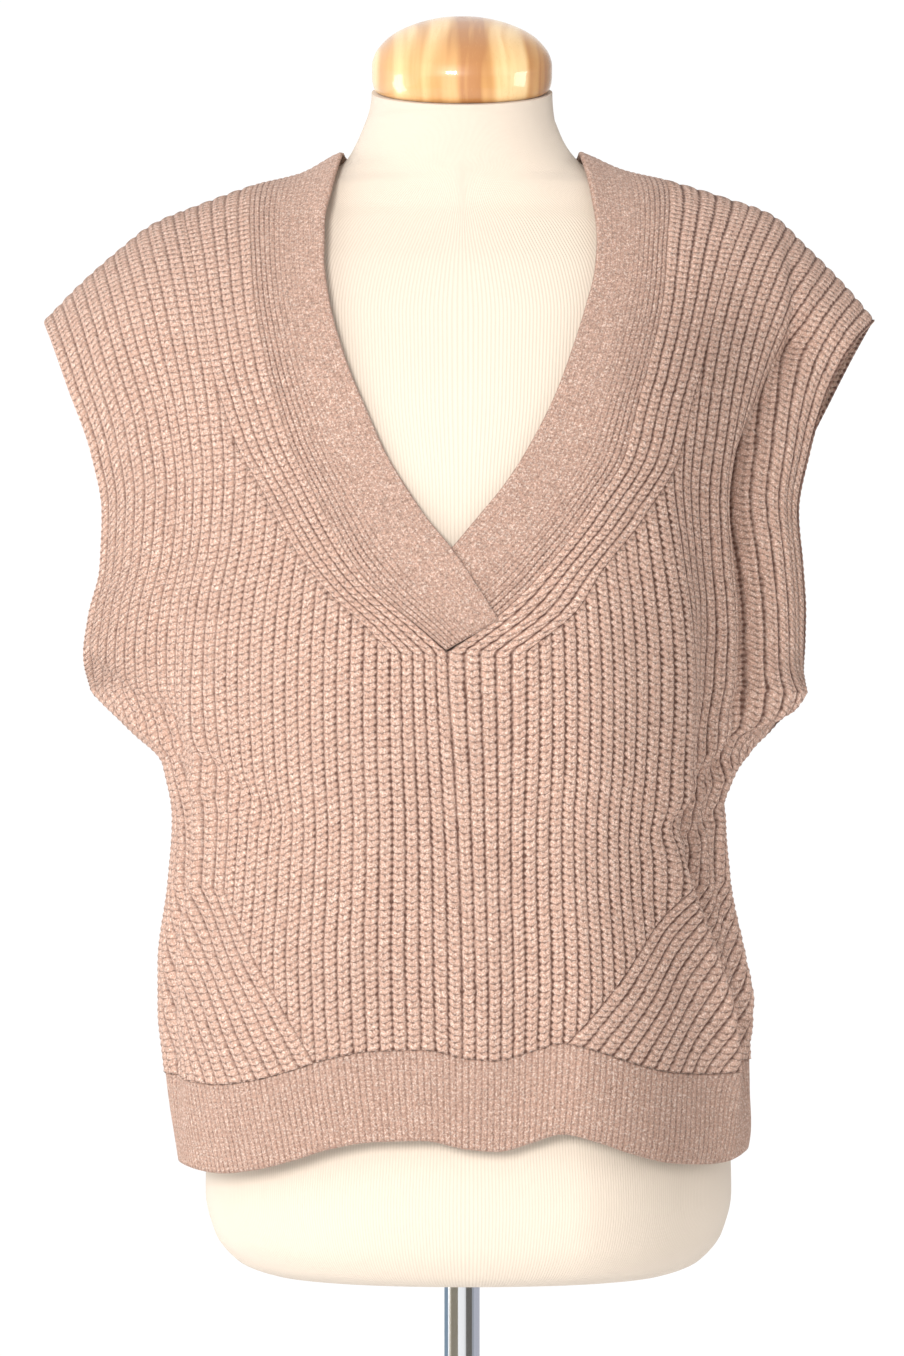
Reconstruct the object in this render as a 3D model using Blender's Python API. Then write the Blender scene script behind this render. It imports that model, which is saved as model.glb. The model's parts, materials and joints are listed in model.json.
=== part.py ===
"""Sleeveless V-neck rib knit pullover resting on a limbless dress form.

Metres, +Z up, front towards -Y. The origin is the centre of the base plate's underside.
The knit panels are walls laid over one smooth surface: s runs across a panel, from -1 at
its left edge through 0 at the centre to 1 at its right edge, and v runs up it, 0 at the
top of the hem welt, 1 at the underarm and 2 at the shoulder line.
"""
import math
from functools import lru_cache

import bpy
import bmesh
import numpy as np

for item in list(bpy.data.objects):
    bpy.data.objects.remove(item, do_unlink=True)

FRONT, BACK = -1, 1
LEFT, RIGHT = -1, 1

# Knit
SEAM_GAP = 0.0003        # between the pieces at a seam
WALL = 0.0022            # plain inside to the bottom of the rib furrows
RIB_RISE = 0.0014        # furrow to rib top on the panels
WELT_WALL = 0.0021
WELT_RISE = 0.0008
LEAST_RIB = 0.3          # share of a rib; a narrower one is left out
RIBS = 33                # wide ribs from the centre to the side of a panel
INNER_STEP = 3           # the plain inside has a line for every third rib

# Heights
WELT_BOTTOM = 0.874
WELT_TOP = 0.928
UNDERARM = 1.145
SHOULDER_Y = 0.008       # the shoulder seam lies a little behind the form's centre
WELT_V = (WELT_BOTTOM - WELT_TOP) / (UNDERARM - WELT_TOP)

# Level rings of the cloth's inside, up to the underarm
# height, half width left, half width right, depth front, depth back, squareness
RINGS = (
    (0.860, 0.172, 0.173, 0.130, 0.119, 2.4),
    (0.885, 0.176, 0.177, 0.132, 0.120, 2.4),
    (0.910, 0.180, 0.175, 0.134, 0.120, 2.4),
    (0.935, 0.183, 0.173, 0.136, 0.120, 2.4),
    (0.960, 0.186, 0.174, 0.139, 0.120, 2.4),
    (0.985, 0.186, 0.169, 0.142, 0.120, 2.4),
    (1.030, 0.180, 0.160, 0.145, 0.120, 2.3),
    (1.070, 0.177, 0.158, 0.148, 0.120, 2.2),
    (1.100, 0.181, 0.168, 0.150, 0.121, 2.0),
    (1.120, 0.203, 0.189, 0.151, 0.122, 1.8),
    (1.145, 0.229, 0.210, 0.151, 0.122, 1.65),
)

# Armhole edges: height, left front, right front, left back, right back
ARMHOLES = (
    (1.145, 0.229, 0.210, 0.229, 0.210),
    (1.163, 0.232, 0.209, 0.228, 0.208),
    (1.190, 0.228, 0.209, 0.221, 0.206),
    (1.219, 0.2205, 0.207, 0.215, 0.205),
    (1.253, 0.219, 0.204, 0.211, 0.205),
    (1.290, 0.226, 0.211, 0.216, 0.215),
    (1.330, 0.241, 0.224, 0.232, 0.234),
    (1.360, 0.253, 0.242, 0.247, 0.249),
    (1.374, 0.260, 0.256, 0.260, 0.256),
)
ARMHOLE_TRIES = 30       # to meet an armhole edge that is given by height
# How far the armhole edges stand apart: share of the height, share of the chest depth
ARMHOLE_GAPE = ((0.0, 0.0), (0.1, 0.20), (0.3, 0.33), (0.6, 0.40), (0.85, 0.42), (1.0, 0.30))

# Shoulder line: distance from the centre, height left, height right
SHOULDER = (
    (0.000, 1.489, 1.489),
    (0.045, 1.486, 1.486),
    (0.072, 1.4800, 1.4795),
    (0.100, 1.4655, 1.4675),
    (0.129, 1.4580, 1.4605),
    (0.164, 1.4455, 1.4500),
    (0.192, 1.4340, 1.4400),
    (0.213, 1.4180, 1.4210),
    (0.238, 1.3960, 1.3960),
    (0.260, 1.3735, 1.3700),
)
TOP_ROUND = {FRONT: 2.1, BACK: 3.0}   # how squarely the chest and back turn into the shoulder
EVEN_TOP = 0.30          # shoulder over underarm, about

# The cloth is eased round the bend at the underarm: by how much further rows are averaged,
# within which height, and how closely the edge keeps its own line
EASE_REACH = 0.055
EASE_STEPS = (-1.0, -0.7, -0.45, -0.22, 0.0, 0.22, 0.45, 0.7, 1.0)
EASE_FULL, EASE_GONE = 0.045, 0.100
EASE_EDGE = 8

# Rise and fall of the welt round the hem: x, front, back
HEM_WAVE = (
    (-0.185, -0.020, -0.020),
    (-0.150, -0.0215, -0.014),
    (-0.125, -0.0175, -0.008),
    (-0.100, -0.0100, -0.004),
    (-0.080, -0.0030, -0.001),
    (-0.053, 0.0020, 0.002),
    (-0.022, 0.0030, 0.000),
    (0.002, -0.0020, -0.004),
    (0.022, -0.0035, -0.003),
    (0.040, 0.0010, 0.001),
    (0.059, 0.0065, 0.003),
    (0.080, 0.0015, 0.000),
    (0.100, -0.0060, -0.004),
    (0.127, -0.0135, -0.009),
    (0.155, -0.0160, -0.013),
    (0.180, -0.0120, -0.012),
)

# Soft folds: side, s and height at the lower end, s and height at the upper end,
# half width in metres, rise (troughs are negative)
FOLDS = (
    (FRONT, 0.685, 0.945, 0.570, 1.020, 0.015, 0.010),
    (FRONT, 0.550, 1.090, 0.530, 1.200, 0.016, 0.006),
    (FRONT, 0.810, 0.965, 0.700, 1.035, 0.015, -0.013),
    (FRONT, 0.660, 1.095, 0.650, 1.150, 0.015, -0.008),
    (FRONT, 0.93, 0.950, 0.84, 1.060, 0.012, 0.005),
    (FRONT, 0.660, 1.095, 0.950, 1.145, 0.012, 0.005),
    (FRONT, 0.620, 1.072, 0.930, 1.120, 0.012, -0.005),
    (FRONT, 0.800, 1.145, 0.805, 1.235, 0.011, -0.013),
    (FRONT, 0.830, 1.300, 0.860, 1.345, 0.013, -0.010),
    (FRONT, 0.91, 1.150, 0.92, 1.270, 0.012, 0.004),
    (FRONT, 0.14, 0.920, 0.09, 1.120, 0.018, -0.004),
    (FRONT, -0.80, 0.955, -0.77, 1.085, 0.014, -0.007),
    (FRONT, -0.68, 1.010, -0.66, 1.105, 0.014, 0.006),
    (FRONT, -0.55, 1.080, -0.90, 1.140, 0.016, -0.004),
    (FRONT, -0.76, 1.160, -0.80, 1.300, 0.020, -0.003),
    (BACK, -0.70, 0.960, -0.60, 1.110, 0.018, -0.009),
    (BACK, -0.48, 0.930, -0.42, 1.120, 0.020, 0.005),
    (BACK, -0.88, 0.955, -0.86, 1.040, 0.014, 0.005),
    (BACK, 0.68, 0.965, 0.60, 1.110, 0.018, -0.009),
    (BACK, 0.46, 0.930, 0.42, 1.120, 0.020, 0.005),
    (BACK, -0.55, 1.090, -0.90, 1.150, 0.016, -0.005),
    (BACK, 0.55, 1.090, 0.90, 1.150, 0.016, -0.005),
)
FOLD_STOP, FOLD_GONE = 1.70, 1.92    # rows between which the folds die out below the shoulder
FOLD_STRAY = 0.4         # share of its length by which a fold goes on in its own direction
FOLD_FADE = 0.045        # and the distance over which it fades past its ends
HALF_ROW = 0.26          # from the centre of a panel to its side, about
SMOOTH_EDGE = 0.93       # s beyond which the folds flatten towards the sides

# Inner edge and linked seam of the neck band on the front: height, x
BAND_SEAM = {
    LEFT: ((1.1665, -0.0090), (1.181, -0.0246), (1.203, -0.0495), (1.2280, -0.0690),
           (1.2560, -0.0840), (1.2960, -0.1035), (1.3430, -0.1175), (1.3800, -0.1245),
           (1.4180, -0.1280), (1.4590, -0.1270)),
    RIGHT: ((1.1665, -0.0090), (1.1910, 0.0233), (1.2130, 0.0448), (1.2480, 0.0725),
            (1.2860, 0.0960), (1.3130, 0.1030), (1.3430, 0.1115), (1.3760, 0.1195),
            (1.4190, 0.1240), (1.4620, 0.1230)),
}
BAND_EDGE = {
    LEFT: ((1.1860, 0.0210), (1.2290, -0.0065), (1.2470, -0.0210), (1.2680, -0.0350),
           (1.2830, -0.0440), (1.3140, -0.0580), (1.3440, -0.0700), (1.3800, -0.0800),
           (1.4080, -0.0835), (1.4300, -0.0835), (1.4500, -0.0800), (1.4795, -0.0735)),
    RIGHT: ((1.2010, -0.0330), (1.2290, -0.0065), (1.2470, 0.0085), (1.2660, 0.0240),
            (1.2850, 0.0365), (1.3220, 0.0555), (1.3520, 0.0665), (1.3740, 0.0735),
            (1.4000, 0.0800), (1.4200, 0.0815), (1.4490, 0.0785), (1.4790, 0.0725)),
}
# Back neck: share of the way from the left shoulder to the right, seam x, seam height,
# edge x, edge height
BACK_NECK = (
    (0.00, -0.1270, 1.4590, -0.0735, 1.4795),
    (0.12, -0.1120, 1.4450, -0.0690, 1.4770),
    (0.30, -0.0680, 1.4300, -0.0440, 1.4690),
    (0.50, 0.0000, 1.4240, 0.0000, 1.4645),
    (0.70, 0.0670, 1.4300, 0.0440, 1.4690),
    (0.88, 0.1100, 1.4460, 0.0685, 1.4770),
    (1.00, 0.1230, 1.4620, 0.0725, 1.4790),
)
BAND_WALL = 0.0026
V_RIBS = 5               # ribs that follow the band's seam
V_RIB_SPAN = (           # height, width of those ribs left, right
    (1.1665, 0.0343, 0.0468),
    (1.1900, 0.0310, 0.0440),
    (1.2150, 0.030, 0.036),
    (1.3200, 0.034, 0.034),
    (1.4600, 0.035, 0.035),
)
# Fashioned line at the lower corners: height, x left, x right
CORNER_LINE = ((WELT_TOP, 0.088, 0.062), (0.965, 0.108, 0.088), (1.000, 0.128, 0.110),
               (1.030, 0.142, 0.128))
CORNER_SPREAD = 1.25     # ribs outside the line are this much wider at the welt
LEAST_LINE = 0.06        # ribs that would leave at the side below this row are left out
CLOSE_ROWS = 0.02        # rows nearer than this to each other are one

# Form
# height, centre x, half width, depth front, depth back, squareness
FORM_RINGS = (
    (0.7800, 0.004, 0.098, 0.060, 0.058, 2.2),
    (0.7825, 0.004, 0.126, 0.082, 0.076, 2.2),
    (0.7910, 0.004, 0.1455, 0.098, 0.091, 2.2),
    (0.8080, 0.004, 0.1585, 0.109, 0.099, 2.2),
    (0.8320, 0.004, 0.1640, 0.1140, 0.104, 2.2),
    (0.8700, 0.004, 0.1630, 0.1150, 0.105, 2.15),
    (0.9200, 0.003, 0.1560, 0.1120, 0.101, 2.1),
    (0.9800, 0.002, 0.1400, 0.1060, 0.093, 2.1),
    (1.0400, 0.000, 0.1260, 0.1010, 0.085, 2.1),
    (1.1000, 0.000, 0.1330, 0.1090, 0.090, 2.2),
    (1.1600, 0.000, 0.1450, 0.1300, 0.099, 2.2),
    (1.2100, 0.000, 0.1530, 0.1410, 0.106, 2.2),
    (1.2600, 0.000, 0.1610, 0.1360, 0.110, 2.2),
    (1.3200, 0.000, 0.1750, 0.1200, 0.110, 2.3),
    (1.3700, 0.000, 0.1830, 0.0980, 0.102, 2.3),
    (1.4050, 0.000, 0.1870, 0.0800, 0.090, 2.1),
    (1.4200, 0.000, 0.1870, 0.0700, 0.080, 1.9),
    (1.4322, 0.000, 0.1830, 0.0620, 0.070, 1.75),
    (1.4443, 0.000, 0.1630, 0.0560, 0.062, 1.6),
    (1.4571, 0.000, 0.1280, 0.0540, 0.057, 1.55),
    (1.4638, 0.000, 0.0980, 0.0540, 0.056, 1.6),
    (1.4730, 0.000, 0.0745, 0.0545, 0.056, 1.9),
    (1.4860, -0.001, 0.0650, 0.0555, 0.057, 2.0),
    (1.5000, -0.001, 0.0590, 0.0560, 0.0565, 2.0),
)
FORM_SIDES = 48
NECK_TOP = 1.5180        # centre of the sloping cut on which the cap sits
NECK_RADIUS = 0.0565
NECK_TILT = math.radians(15)
POLE_RADIUS = 0.0111
BASE_RADIUS = 0.150
BASE_THICK = 0.010
BASE_RIM = 0.002

# Rows of the panels' mesh
ROWS = (0.0, 0.17, 0.34, 0.5, 0.67, 0.84, 1.0, 1.12, 1.26, 1.42, 1.58, 1.73, 1.86, 1.95, 2.0)
SECTION_POINTS = 121


def smooth(table, column, at):
    """A column of a table at the place `at` in its first column, along a curve with no overshoot."""
    x = np.array([line[0] for line in table])
    y = np.array([line[column] for line in table])
    step = np.diff(x)
    rise = np.diff(y) / step
    slope = np.zeros(len(x))
    same = rise[:-1] * rise[1:] > 0
    mean = 2 * rise[:-1] * rise[1:] / np.where(same, rise[:-1] + rise[1:], 1)
    slope[1:-1] = np.where(same, mean, 0)
    slope[0], slope[-1] = rise[0], rise[-1]
    at = np.clip(np.asarray(at, float), x[0], x[-1])
    i = np.clip(np.searchsorted(x, at) - 1, 0, len(step) - 1)
    t = (at - x[i]) / step[i]
    return (
        y[i] * (1 + 2 * t) * (1 - t) ** 2
        + slope[i] * step[i] * t * (1 - t) ** 2
        + y[i + 1] * t * t * (3 - 2 * t)
        - slope[i + 1] * step[i] * t * t * (1 - t)
    )


# The smooth surface

def shoulder_height(x):
    return np.where(x < 0, smooth(SHOULDER, 1, np.abs(x)), smooth(SHOULDER, 2, np.abs(x)))


def rise_and_depth(side, v):
    """Share of the way up from the underarm to the shoulder, and of the depth that is left."""
    turn = np.clip(v - 1, 0, 1) * math.pi / 2
    power = 2 / TOP_ROUND[side]
    return np.sin(turn) ** power, np.cos(turn) ** power


def armhole_x(side, half, up):
    """Distance of the armhole edge from the centre, on the row that is `up` of the way up."""
    column = {(FRONT, LEFT): 1, (FRONT, RIGHT): 2, (BACK, LEFT): 3, (BACK, RIGHT): 4}[side, half]
    x = ARMHOLES[0][1]
    for _ in range(ARMHOLE_TRIES):
        z = UNDERARM + (shoulder_height(half * x) - UNDERARM) * up
        x = 0.5 * x + 0.5 * float(smooth(ARMHOLES, column, z))
    return x


def nominal(side, v):
    """The height of a row where the shoulder is EVEN_TOP over the underarm."""
    if v <= 1:
        return WELT_TOP + (UNDERARM - WELT_TOP) * v
    return UNDERARM + EVEN_TOP * float(rise_and_depth(side, v)[0])


def row_at(side, z):
    """The row at a nominal height."""
    if z <= UNDERARM:
        return (z - WELT_TOP) / (UNDERARM - WELT_TOP)
    up = min((z - UNDERARM) / EVEN_TOP, 1)
    return 1 + math.asin(up ** (TOP_ROUND[side] / 2)) * 2 / math.pi


@lru_cache(maxsize=None)
def section(side, v):
    """One row of a panel from edge to edge, eased round the bend at the underarm."""
    points, s = bent_section(side, v)
    z = nominal(side, v)
    near = 1 - (abs(z - UNDERARM) - EASE_FULL) / (EASE_GONE - EASE_FULL)
    if near <= 0:
        return points, s
    near = min(near, 1)
    total = np.zeros_like(points)
    for part in EASE_STEPS:
        beside, at = bent_section(side, round(row_at(side, z + part * EASE_REACH), 6))
        total += np.stack([np.interp(s, at, beside[:, axis]) for axis in range(3)], 1)
    share = near * near * (3 - 2 * near) * (1 - np.abs(s) ** EASE_EDGE) ** 2
    return points + (total / len(EASE_STEPS) - points) * share[:, None], s


@lru_cache(maxsize=None)
def bent_section(side, v):
    """One row of a panel from edge to edge: its points and their s."""
    up, left_over = rise_and_depth(side, v)
    z = WELT_TOP + (UNDERARM - WELT_TOP) * min(v, 1)
    widths = [float(smooth(RINGS, column, z)) for column in (1, 2)]
    depth = float(smooth(RINGS, 3 if side == FRONT else 4, z))
    square = float(smooth(RINGS, 5, z))
    gape = float(smooth(ARMHOLE_GAPE, 1, up)) if v > 1 else 0.0
    ends = (1 - gape ** square) ** (1 / square)
    if v > 1:
        widths = [armhole_x(side, half, up) / ends for half in (LEFT, RIGHT)]
    last = math.acos(ends ** (square / 2))
    turn = np.linspace(last, math.pi - last, SECTION_POINTS)
    x = -np.sign(np.cos(turn)) * np.abs(np.cos(turn)) ** (2 / square)
    x = x * np.where(x < 0, widths[0], widths[1])
    y = side * depth * np.sin(turn) ** (2 / square)
    y = SHOULDER_Y * (1 - left_over) + y * left_over if v > 1 else y
    fade = 1.0 if v < 0 else max(0.0, 1 - v) ** 2
    column = 1 if side == FRONT else 2
    height = z + smooth(HEM_WAVE, column, x) * fade
    if v > 1:
        height = UNDERARM + (shoulder_height(x) - UNDERARM) * up
    points = np.stack([x, y, height], 1)
    run = np.concatenate([[0], np.cumsum(np.linalg.norm(np.diff(points, axis=0), axis=1))])
    middle = np.interp(0, x, run)
    s = np.where(run < middle, run / middle - 1, (run - middle) / (run[-1] - middle))
    return points, s


def plain(side, s, v):
    points, at = section(side, round(float(v), 6))
    return np.array([np.interp(s, at, points[:, axis]) for axis in range(3)])


def fold_rise(side, s, v):
    """How far the folds lift or sink the cloth there."""
    z = nominal(side, v)
    total = 0.0
    for fold_side, s0, z0, s1, z1, width, rise in FOLDS:
        if fold_side != side:
            continue
        along = (z - z0) / (z1 - z0)
        middle = s0 + (s1 - s0) * min(max(along, -FOLD_STRAY), 1 + FOLD_STRAY)
        slant = abs(s1 - s0) * HALF_ROW / (z1 - z0)
        across = (s - middle) * HALF_ROW / math.hypot(1, slant)
        past = max(0.0, -along, along - 1) * math.hypot(z1 - z0, (s1 - s0) * HALF_ROW) / FOLD_FADE
        total += rise * math.exp(-((across / width) ** 2) - past**2)
    edge = max(0.0, (abs(s) - SMOOTH_EDGE) / (1 - SMOOTH_EDGE))
    high = min(max(0.0, (v - FOLD_STOP) / (FOLD_GONE - FOLD_STOP)), 1.0)
    return total * (1 - edge * edge) * (1 - high) ** 2 * (1 + 2 * high)


def normal(side, s, v, reach=0.004):
    ds = plain(side, min(s + reach, 1), v) - plain(side, max(s - reach, -1), v)
    low, high = max(v - reach, WELT_V), min(v + reach, 2)
    n = np.cross(ds, plain(side, s, high) - plain(side, s, low))
    return -side * n / np.linalg.norm(n)


def cloth(side, s, v, off):
    """The point `off` outside the plain inside of the cloth."""
    return plain(side, s, v) + normal(side, s, v) * (off + fold_rise(side, s, v))


def v_of(side, x, z):
    """The row that passes through x at height z above the underarm."""
    up = np.clip((z - UNDERARM) / (shoulder_height(x) - UNDERARM), 0, 1)
    return 1 + np.arcsin(up ** (TOP_ROUND[side] / 2)) * 2 / math.pi


def s_of(side, x, v):
    points, at = section(side, round(float(v), 6))
    return float(np.interp(x, points[:, 0], at))


# Lines of the rib pattern. A place is (share, v, lift): the share of the half panel from the
# centre outwards, the row, and how far the knit stands over the plain inside.

FURROW, TOP = WALL, WALL + RIB_RISE


def share_line(half, places, rows):
    """Where a line given by heights and distances from the centre crosses each row."""
    v = [float(v_of(FRONT, x, z)) if z > UNDERARM else (z - WELT_TOP) / (UNDERARM - WELT_TOP)
         for z, x in places]
    share = [half * s_of(FRONT, x, row) for (_, x), row in zip(places, v)]
    return np.interp(rows, v, share), v[0], v[-1]


def lift_of(ribs):
    """Furrow on whole ribs, rib top on the halves."""
    return TOP if round(ribs * 2) % 2 else FURROW


def with_rows(rows, extra):
    """The rows with extra ones let in, which push out any that lie close to them."""
    kept = [v for v in rows[1:-1] if all(abs(v - other) > CLOSE_ROWS for other in extra)]
    return sorted({rows[0], *kept, *extra, rows[-1]})


class HalfFront:
    """The rib lines of one half of the front."""

    grid = np.linspace(0, 2, 401)

    def __init__(self, half):
        self.half = half
        seam = BAND_SEAM[half]
        spread = [(z, x + half * float(smooth(V_RIB_SPAN, 1 if half == LEFT else 2, z)))
                  for z, x in seam]
        corner = [(line[0], half * line[1 if half == LEFT else 2]) for line in CORNER_LINE]
        self.seam, self.tip, _ = share_line(half, seam, self.grid)
        self.tip_share = half * s_of(FRONT, seam[0][1], self.tip)
        self.outer, _, _ = share_line(half, spread, self.grid)
        self.corner, _, self.corner_top = share_line(half, corner, self.grid)
        below = self.grid < self.tip
        ribs = round((self.corner[-1] - V_RIBS / RIBS) * RIBS)
        self.outer[below] = self.corner[-1] - ribs / RIBS
        self.outer = np.maximum.accumulate(self.outer)

    def at(self, values, v):
        return float(np.interp(v, self.grid, values))

    def seam_at(self, v):
        if v > self.tip:
            return self.at(self.seam, v)
        return self.tip_share * (v / self.tip) ** 2

    def beyond_corner(self, ribs, v):
        """A line so many ribs outside the corner line."""
        wide = CORNER_SPREAD + (1 - CORNER_SPREAD) * min(v / self.corner_top, 1)
        return self.at(self.corner, v) + ribs * wide / RIBS

    def lines(self, step, rows, seam_rows):
        """All lines from the side to the neck seam, a rib's half apart where step is 0.5."""
        bottom, top = rows[0], rows[-1]
        above = self.grid > self.tip
        shares, ends = [], []
        first = self.corner[-1] - step / RIBS
        while first - len(shares) * step / RIBS > self.outer[0] + 0.5 * step / RIBS:
            shares.append(first - len(shares) * step / RIBS)
        for share in shares:
            low = high = None
            if share > self.corner[0]:
                low = float(np.interp(share, self.corner, self.grid))
            if share < self.outer[-1]:
                high = float(np.interp(share, self.outer[above], self.grid[above]))
            ends.append((low, high))
        exits = []
        while True:
            ribs = (len(exits) + 1) * step
            line = np.array([self.beyond_corner(ribs, v) for v in self.grid])
            past = self.grid[line >= 1 - LEAST_RIB * step / RIBS]
            if len(past) and past[0] < LEAST_LINE:
                break
            exits.append(float(past[0]) if len(past) else None)
        side_rows = with_rows(rows, [v for v in exits if v])
        corner_rows = with_rows(rows, [low for low, _ in ends if low])
        outer_rows = with_rows(rows, [high for _, high in ends if high])
        side = [(1.0, v, FURROW) for v in side_rows]
        corner = [(self.at(self.corner, v), v, FURROW) for v in corner_rows]
        outer = [(self.at(self.outer, v), v, lift_of(V_RIBS)) for v in outer_rows]
        found = [side]
        for n in range(len(exits), 0, -1):
            leave = exits[n - 1]
            line = [(self.beyond_corner(n * step, v), v, lift_of(n * step))
                    for v in rows if leave is None or v < leave - CLOSE_ROWS]
            found.append(line + [p for p in side if leave is not None and p[1] >= leave])
        found.append(corner)
        for n, (share, (low, high)) in enumerate(zip(shares, ends)):
            lift = lift_of((n + 1) * step)
            start = bottom - 1 if low is None else low + CLOSE_ROWS
            stop = top + 1 if high is None else high - CLOSE_ROWS
            line = [p for p in corner if low is not None and p[1] <= low]
            line += [(share, v, lift) for v in rows if start < v < stop]
            found.append(line + [p for p in outer if high is not None and p[1] >= high])
        found.append(outer)
        beside = round(V_RIBS / step)
        for n in range(beside - 1, -1, -1):
            part = n / beside
            use = seam_rows if n == 0 else rows
            found.append([
                (self.seam_at(v) * (1 - part) + self.at(self.outer, v) * part, v,
                 lift_of(n * step))
                for v in use
            ])
        return found


# Walls made from lines

def zip_lines(a, b, points=None):
    """Triangles between two lines of (place, index).

    They advance by the place along the lines or, where points are given, by the shorter edge.
    """
    faces = []
    i = j = 0
    while i < len(a) - 1 or j < len(b) - 1:
        if i == len(a) - 1 or j == len(b) - 1:
            along_a = j == len(b) - 1
        elif points is None:
            along_a = a[i + 1][0] <= b[j + 1][0]
        else:
            next_a = np.linalg.norm(points[a[i + 1][1]] - points[b[j][1]])
            along_a = next_a <= np.linalg.norm(points[b[j + 1][1]] - points[a[i][1]])
        if along_a:
            face = (a[i][1], a[i + 1][1], b[j][1])
            i += 1
        else:
            face = (a[i][1], b[j + 1][1], b[j][1])
            j += 1
        if len(set(face)) == 3:
            faces.append(face)
    return faces


class Wall:
    """A closed wall in the making: an outer and an inner sheet, and the rims that join them."""

    def __init__(self, side, narrow=1.0):
        self.side = side
        self.narrow = narrow
        self.points = []
        self.index = {}
        self.faces = []

    def number(self, sheet, sign, place):
        """The index of a place's point; places that agree share one point."""
        share, v, lift = place
        key = (sheet, round(sign * share, 5), round(v, 5))
        if key not in self.index:
            self.index[key] = len(self.points)
            off = lift if sheet == "outer" else 0.0
            self.points.append(cloth(self.side, sign * share * self.narrow, v, off))
        return self.index[key]

    def sheet(self, sheet, sign, lines):
        for a, b in zip(lines, lines[1:]):
            self.faces += zip_lines(*(
                [(place[1], self.number(sheet, sign, place)) for place in line]
                for line in (a, b)
            ))

    def rim(self, by_share, outer, inner):
        """Joins two paths of (sign, place), one on each sheet, along s or along v."""
        paths = []
        for sheet, path in (("outer", outer), ("inner", inner)):
            run = []
            for sign, place in path:
                number = self.number(sheet, sign, place)
                if not run or run[-1][1] != number:
                    run.append((round(sign * place[0] if by_share else place[1], 5), number))
            paths.append(run if run[0][0] < run[-1][0] else run[::-1])
        self.faces += zip_lines(*paths, self.points)


def ends_of(sign, lines, end):
    return [(sign, line[end]) for line in lines]


def signed(sign, line):
    return [(sign, place) for place in line]


def top_row(side, least=0.0025):
    """The last row, which leaves the seam's gap to the shoulder line."""
    return 2 - least ** (TOP_ROUND[side] / 2) * 2 / math.pi


GAP_V = SEAM_GAP / 2 / (UNDERARM - WELT_TOP)
INSIDE_GAP = {"outer": 1, "inner": 6}          # in half gaps, from the welt's seam
INSIDE_DROP = {"outer": 0.0, "inner": 0.004}   # rows below the back neck seam
NARROW = 1 - SEAM_GAP / 2 / HALF_ROW           # leaves the gap at the side seams
NEAR_SEAM = 0.03                               # rows this near the V's tip or the neck seam are left out


def panel_rows(side, sheet="outer"):
    """The rows of a sheet. The inside stands a little further back from the seams."""
    return (GAP_V * INSIDE_GAP[sheet], *ROWS[1:-1], top_row(side))


def seam_rows_of(half_front, rows):
    """The rows of the neck seam's line, with the V's tip and a point between each two rows."""
    upper = [v for v in rows if v > half_front.tip + NEAR_SEAM]
    stops = [half_front.tip, *upper]
    between = [(a + b) / 2 for a, b in zip(stops, stops[1:])]
    return sorted([v for v in rows if v < half_front.tip - NEAR_SEAM] + stops + between)


def make_front(halves):
    wall = Wall(FRONT, NARROW)
    sheets = {}
    for sheet, step in (("outer", 0.5), ("inner", INNER_STEP)):
        rows = panel_rows(FRONT, sheet)
        for half in (LEFT, RIGHT):
            lines = halves[half].lines(step, rows, seam_rows_of(halves[half], rows))
            wall.sheet(sheet, half, lines)
            sheets[sheet, half] = lines
    both = ("outer", "inner")
    for half in (LEFT, RIGHT):
        wall.rim(False, *(signed(half, sheets[sheet, half][0]) for sheet in both))
        wall.rim(True, *(ends_of(half, sheets[sheet, half], -1) for sheet in both))
        tip = halves[half].tip - 1e-6
        wall.rim(False, *(
            [(half, p) for p in sheets[sheet, half][-1] if p[1] >= tip] for sheet in both
        ))
    feet = [ends_of(LEFT, sheets[sheet, LEFT], 0)
            + ends_of(RIGHT, sheets[sheet, RIGHT][::-1], 0) for sheet in both]
    wall.rim(True, *feet)
    return wall, [sorted({round(sign * place[0], 6) for sign, place in foot}) for foot in feet]


def neckline():
    """The back neck seam as s and v, left to right."""
    v = [float(v_of(BACK, line[1], line[2])) for line in BACK_NECK]
    s = [s_of(BACK, line[1], row) for line, row in zip(BACK_NECK, v)]
    return tuple(zip(s, v))


def back_line_top(s):
    line = neckline_places
    if not line[0][0] < s < line[-1][0]:
        return top_row(BACK)
    return min(top_row(BACK), float(smooth(line, 1, s)))


def make_back():
    wall = Wall(BACK, NARROW)
    sheets = {}
    for sheet, step in (("outer", 0.5), ("inner", INNER_STEP)):
        rows = panel_rows(BACK, sheet)
        lines = []
        for n, s in enumerate(back_shares(step)):
            top = back_line_top(s)
            top -= INSIDE_DROP[sheet] if top < rows[-1] else 0
            lift = lift_of(n * step)
            lines.append([(s, v, lift) for v in rows if v < top - NEAR_SEAM] + [(s, top, lift)])
        wall.sheet(sheet, 1, lines)
        sheets[sheet] = lines
    for end in (0, -1):
        wall.rim(False, *(signed(1, sheets[sheet][end]) for sheet in ("outer", "inner")))
        wall.rim(True, *(ends_of(1, sheets[sheet], end) for sheet in ("outer", "inner")))
    return wall, [[line[0][0] for line in sheets[sheet]] for sheet in ("outer", "inner")]


def back_shares(step):
    """Where the back's lines lie, with one at each end of the neck seam."""
    count = int(RIBS / step)
    shares = np.linspace(-1, 1, 2 * count + 1)
    for corner in (neckline_places[0][0], neckline_places[-1][0]):
        shares[np.argmin(np.abs(shares - corner))] = corner
    return [float(share) for share in shares]


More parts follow.
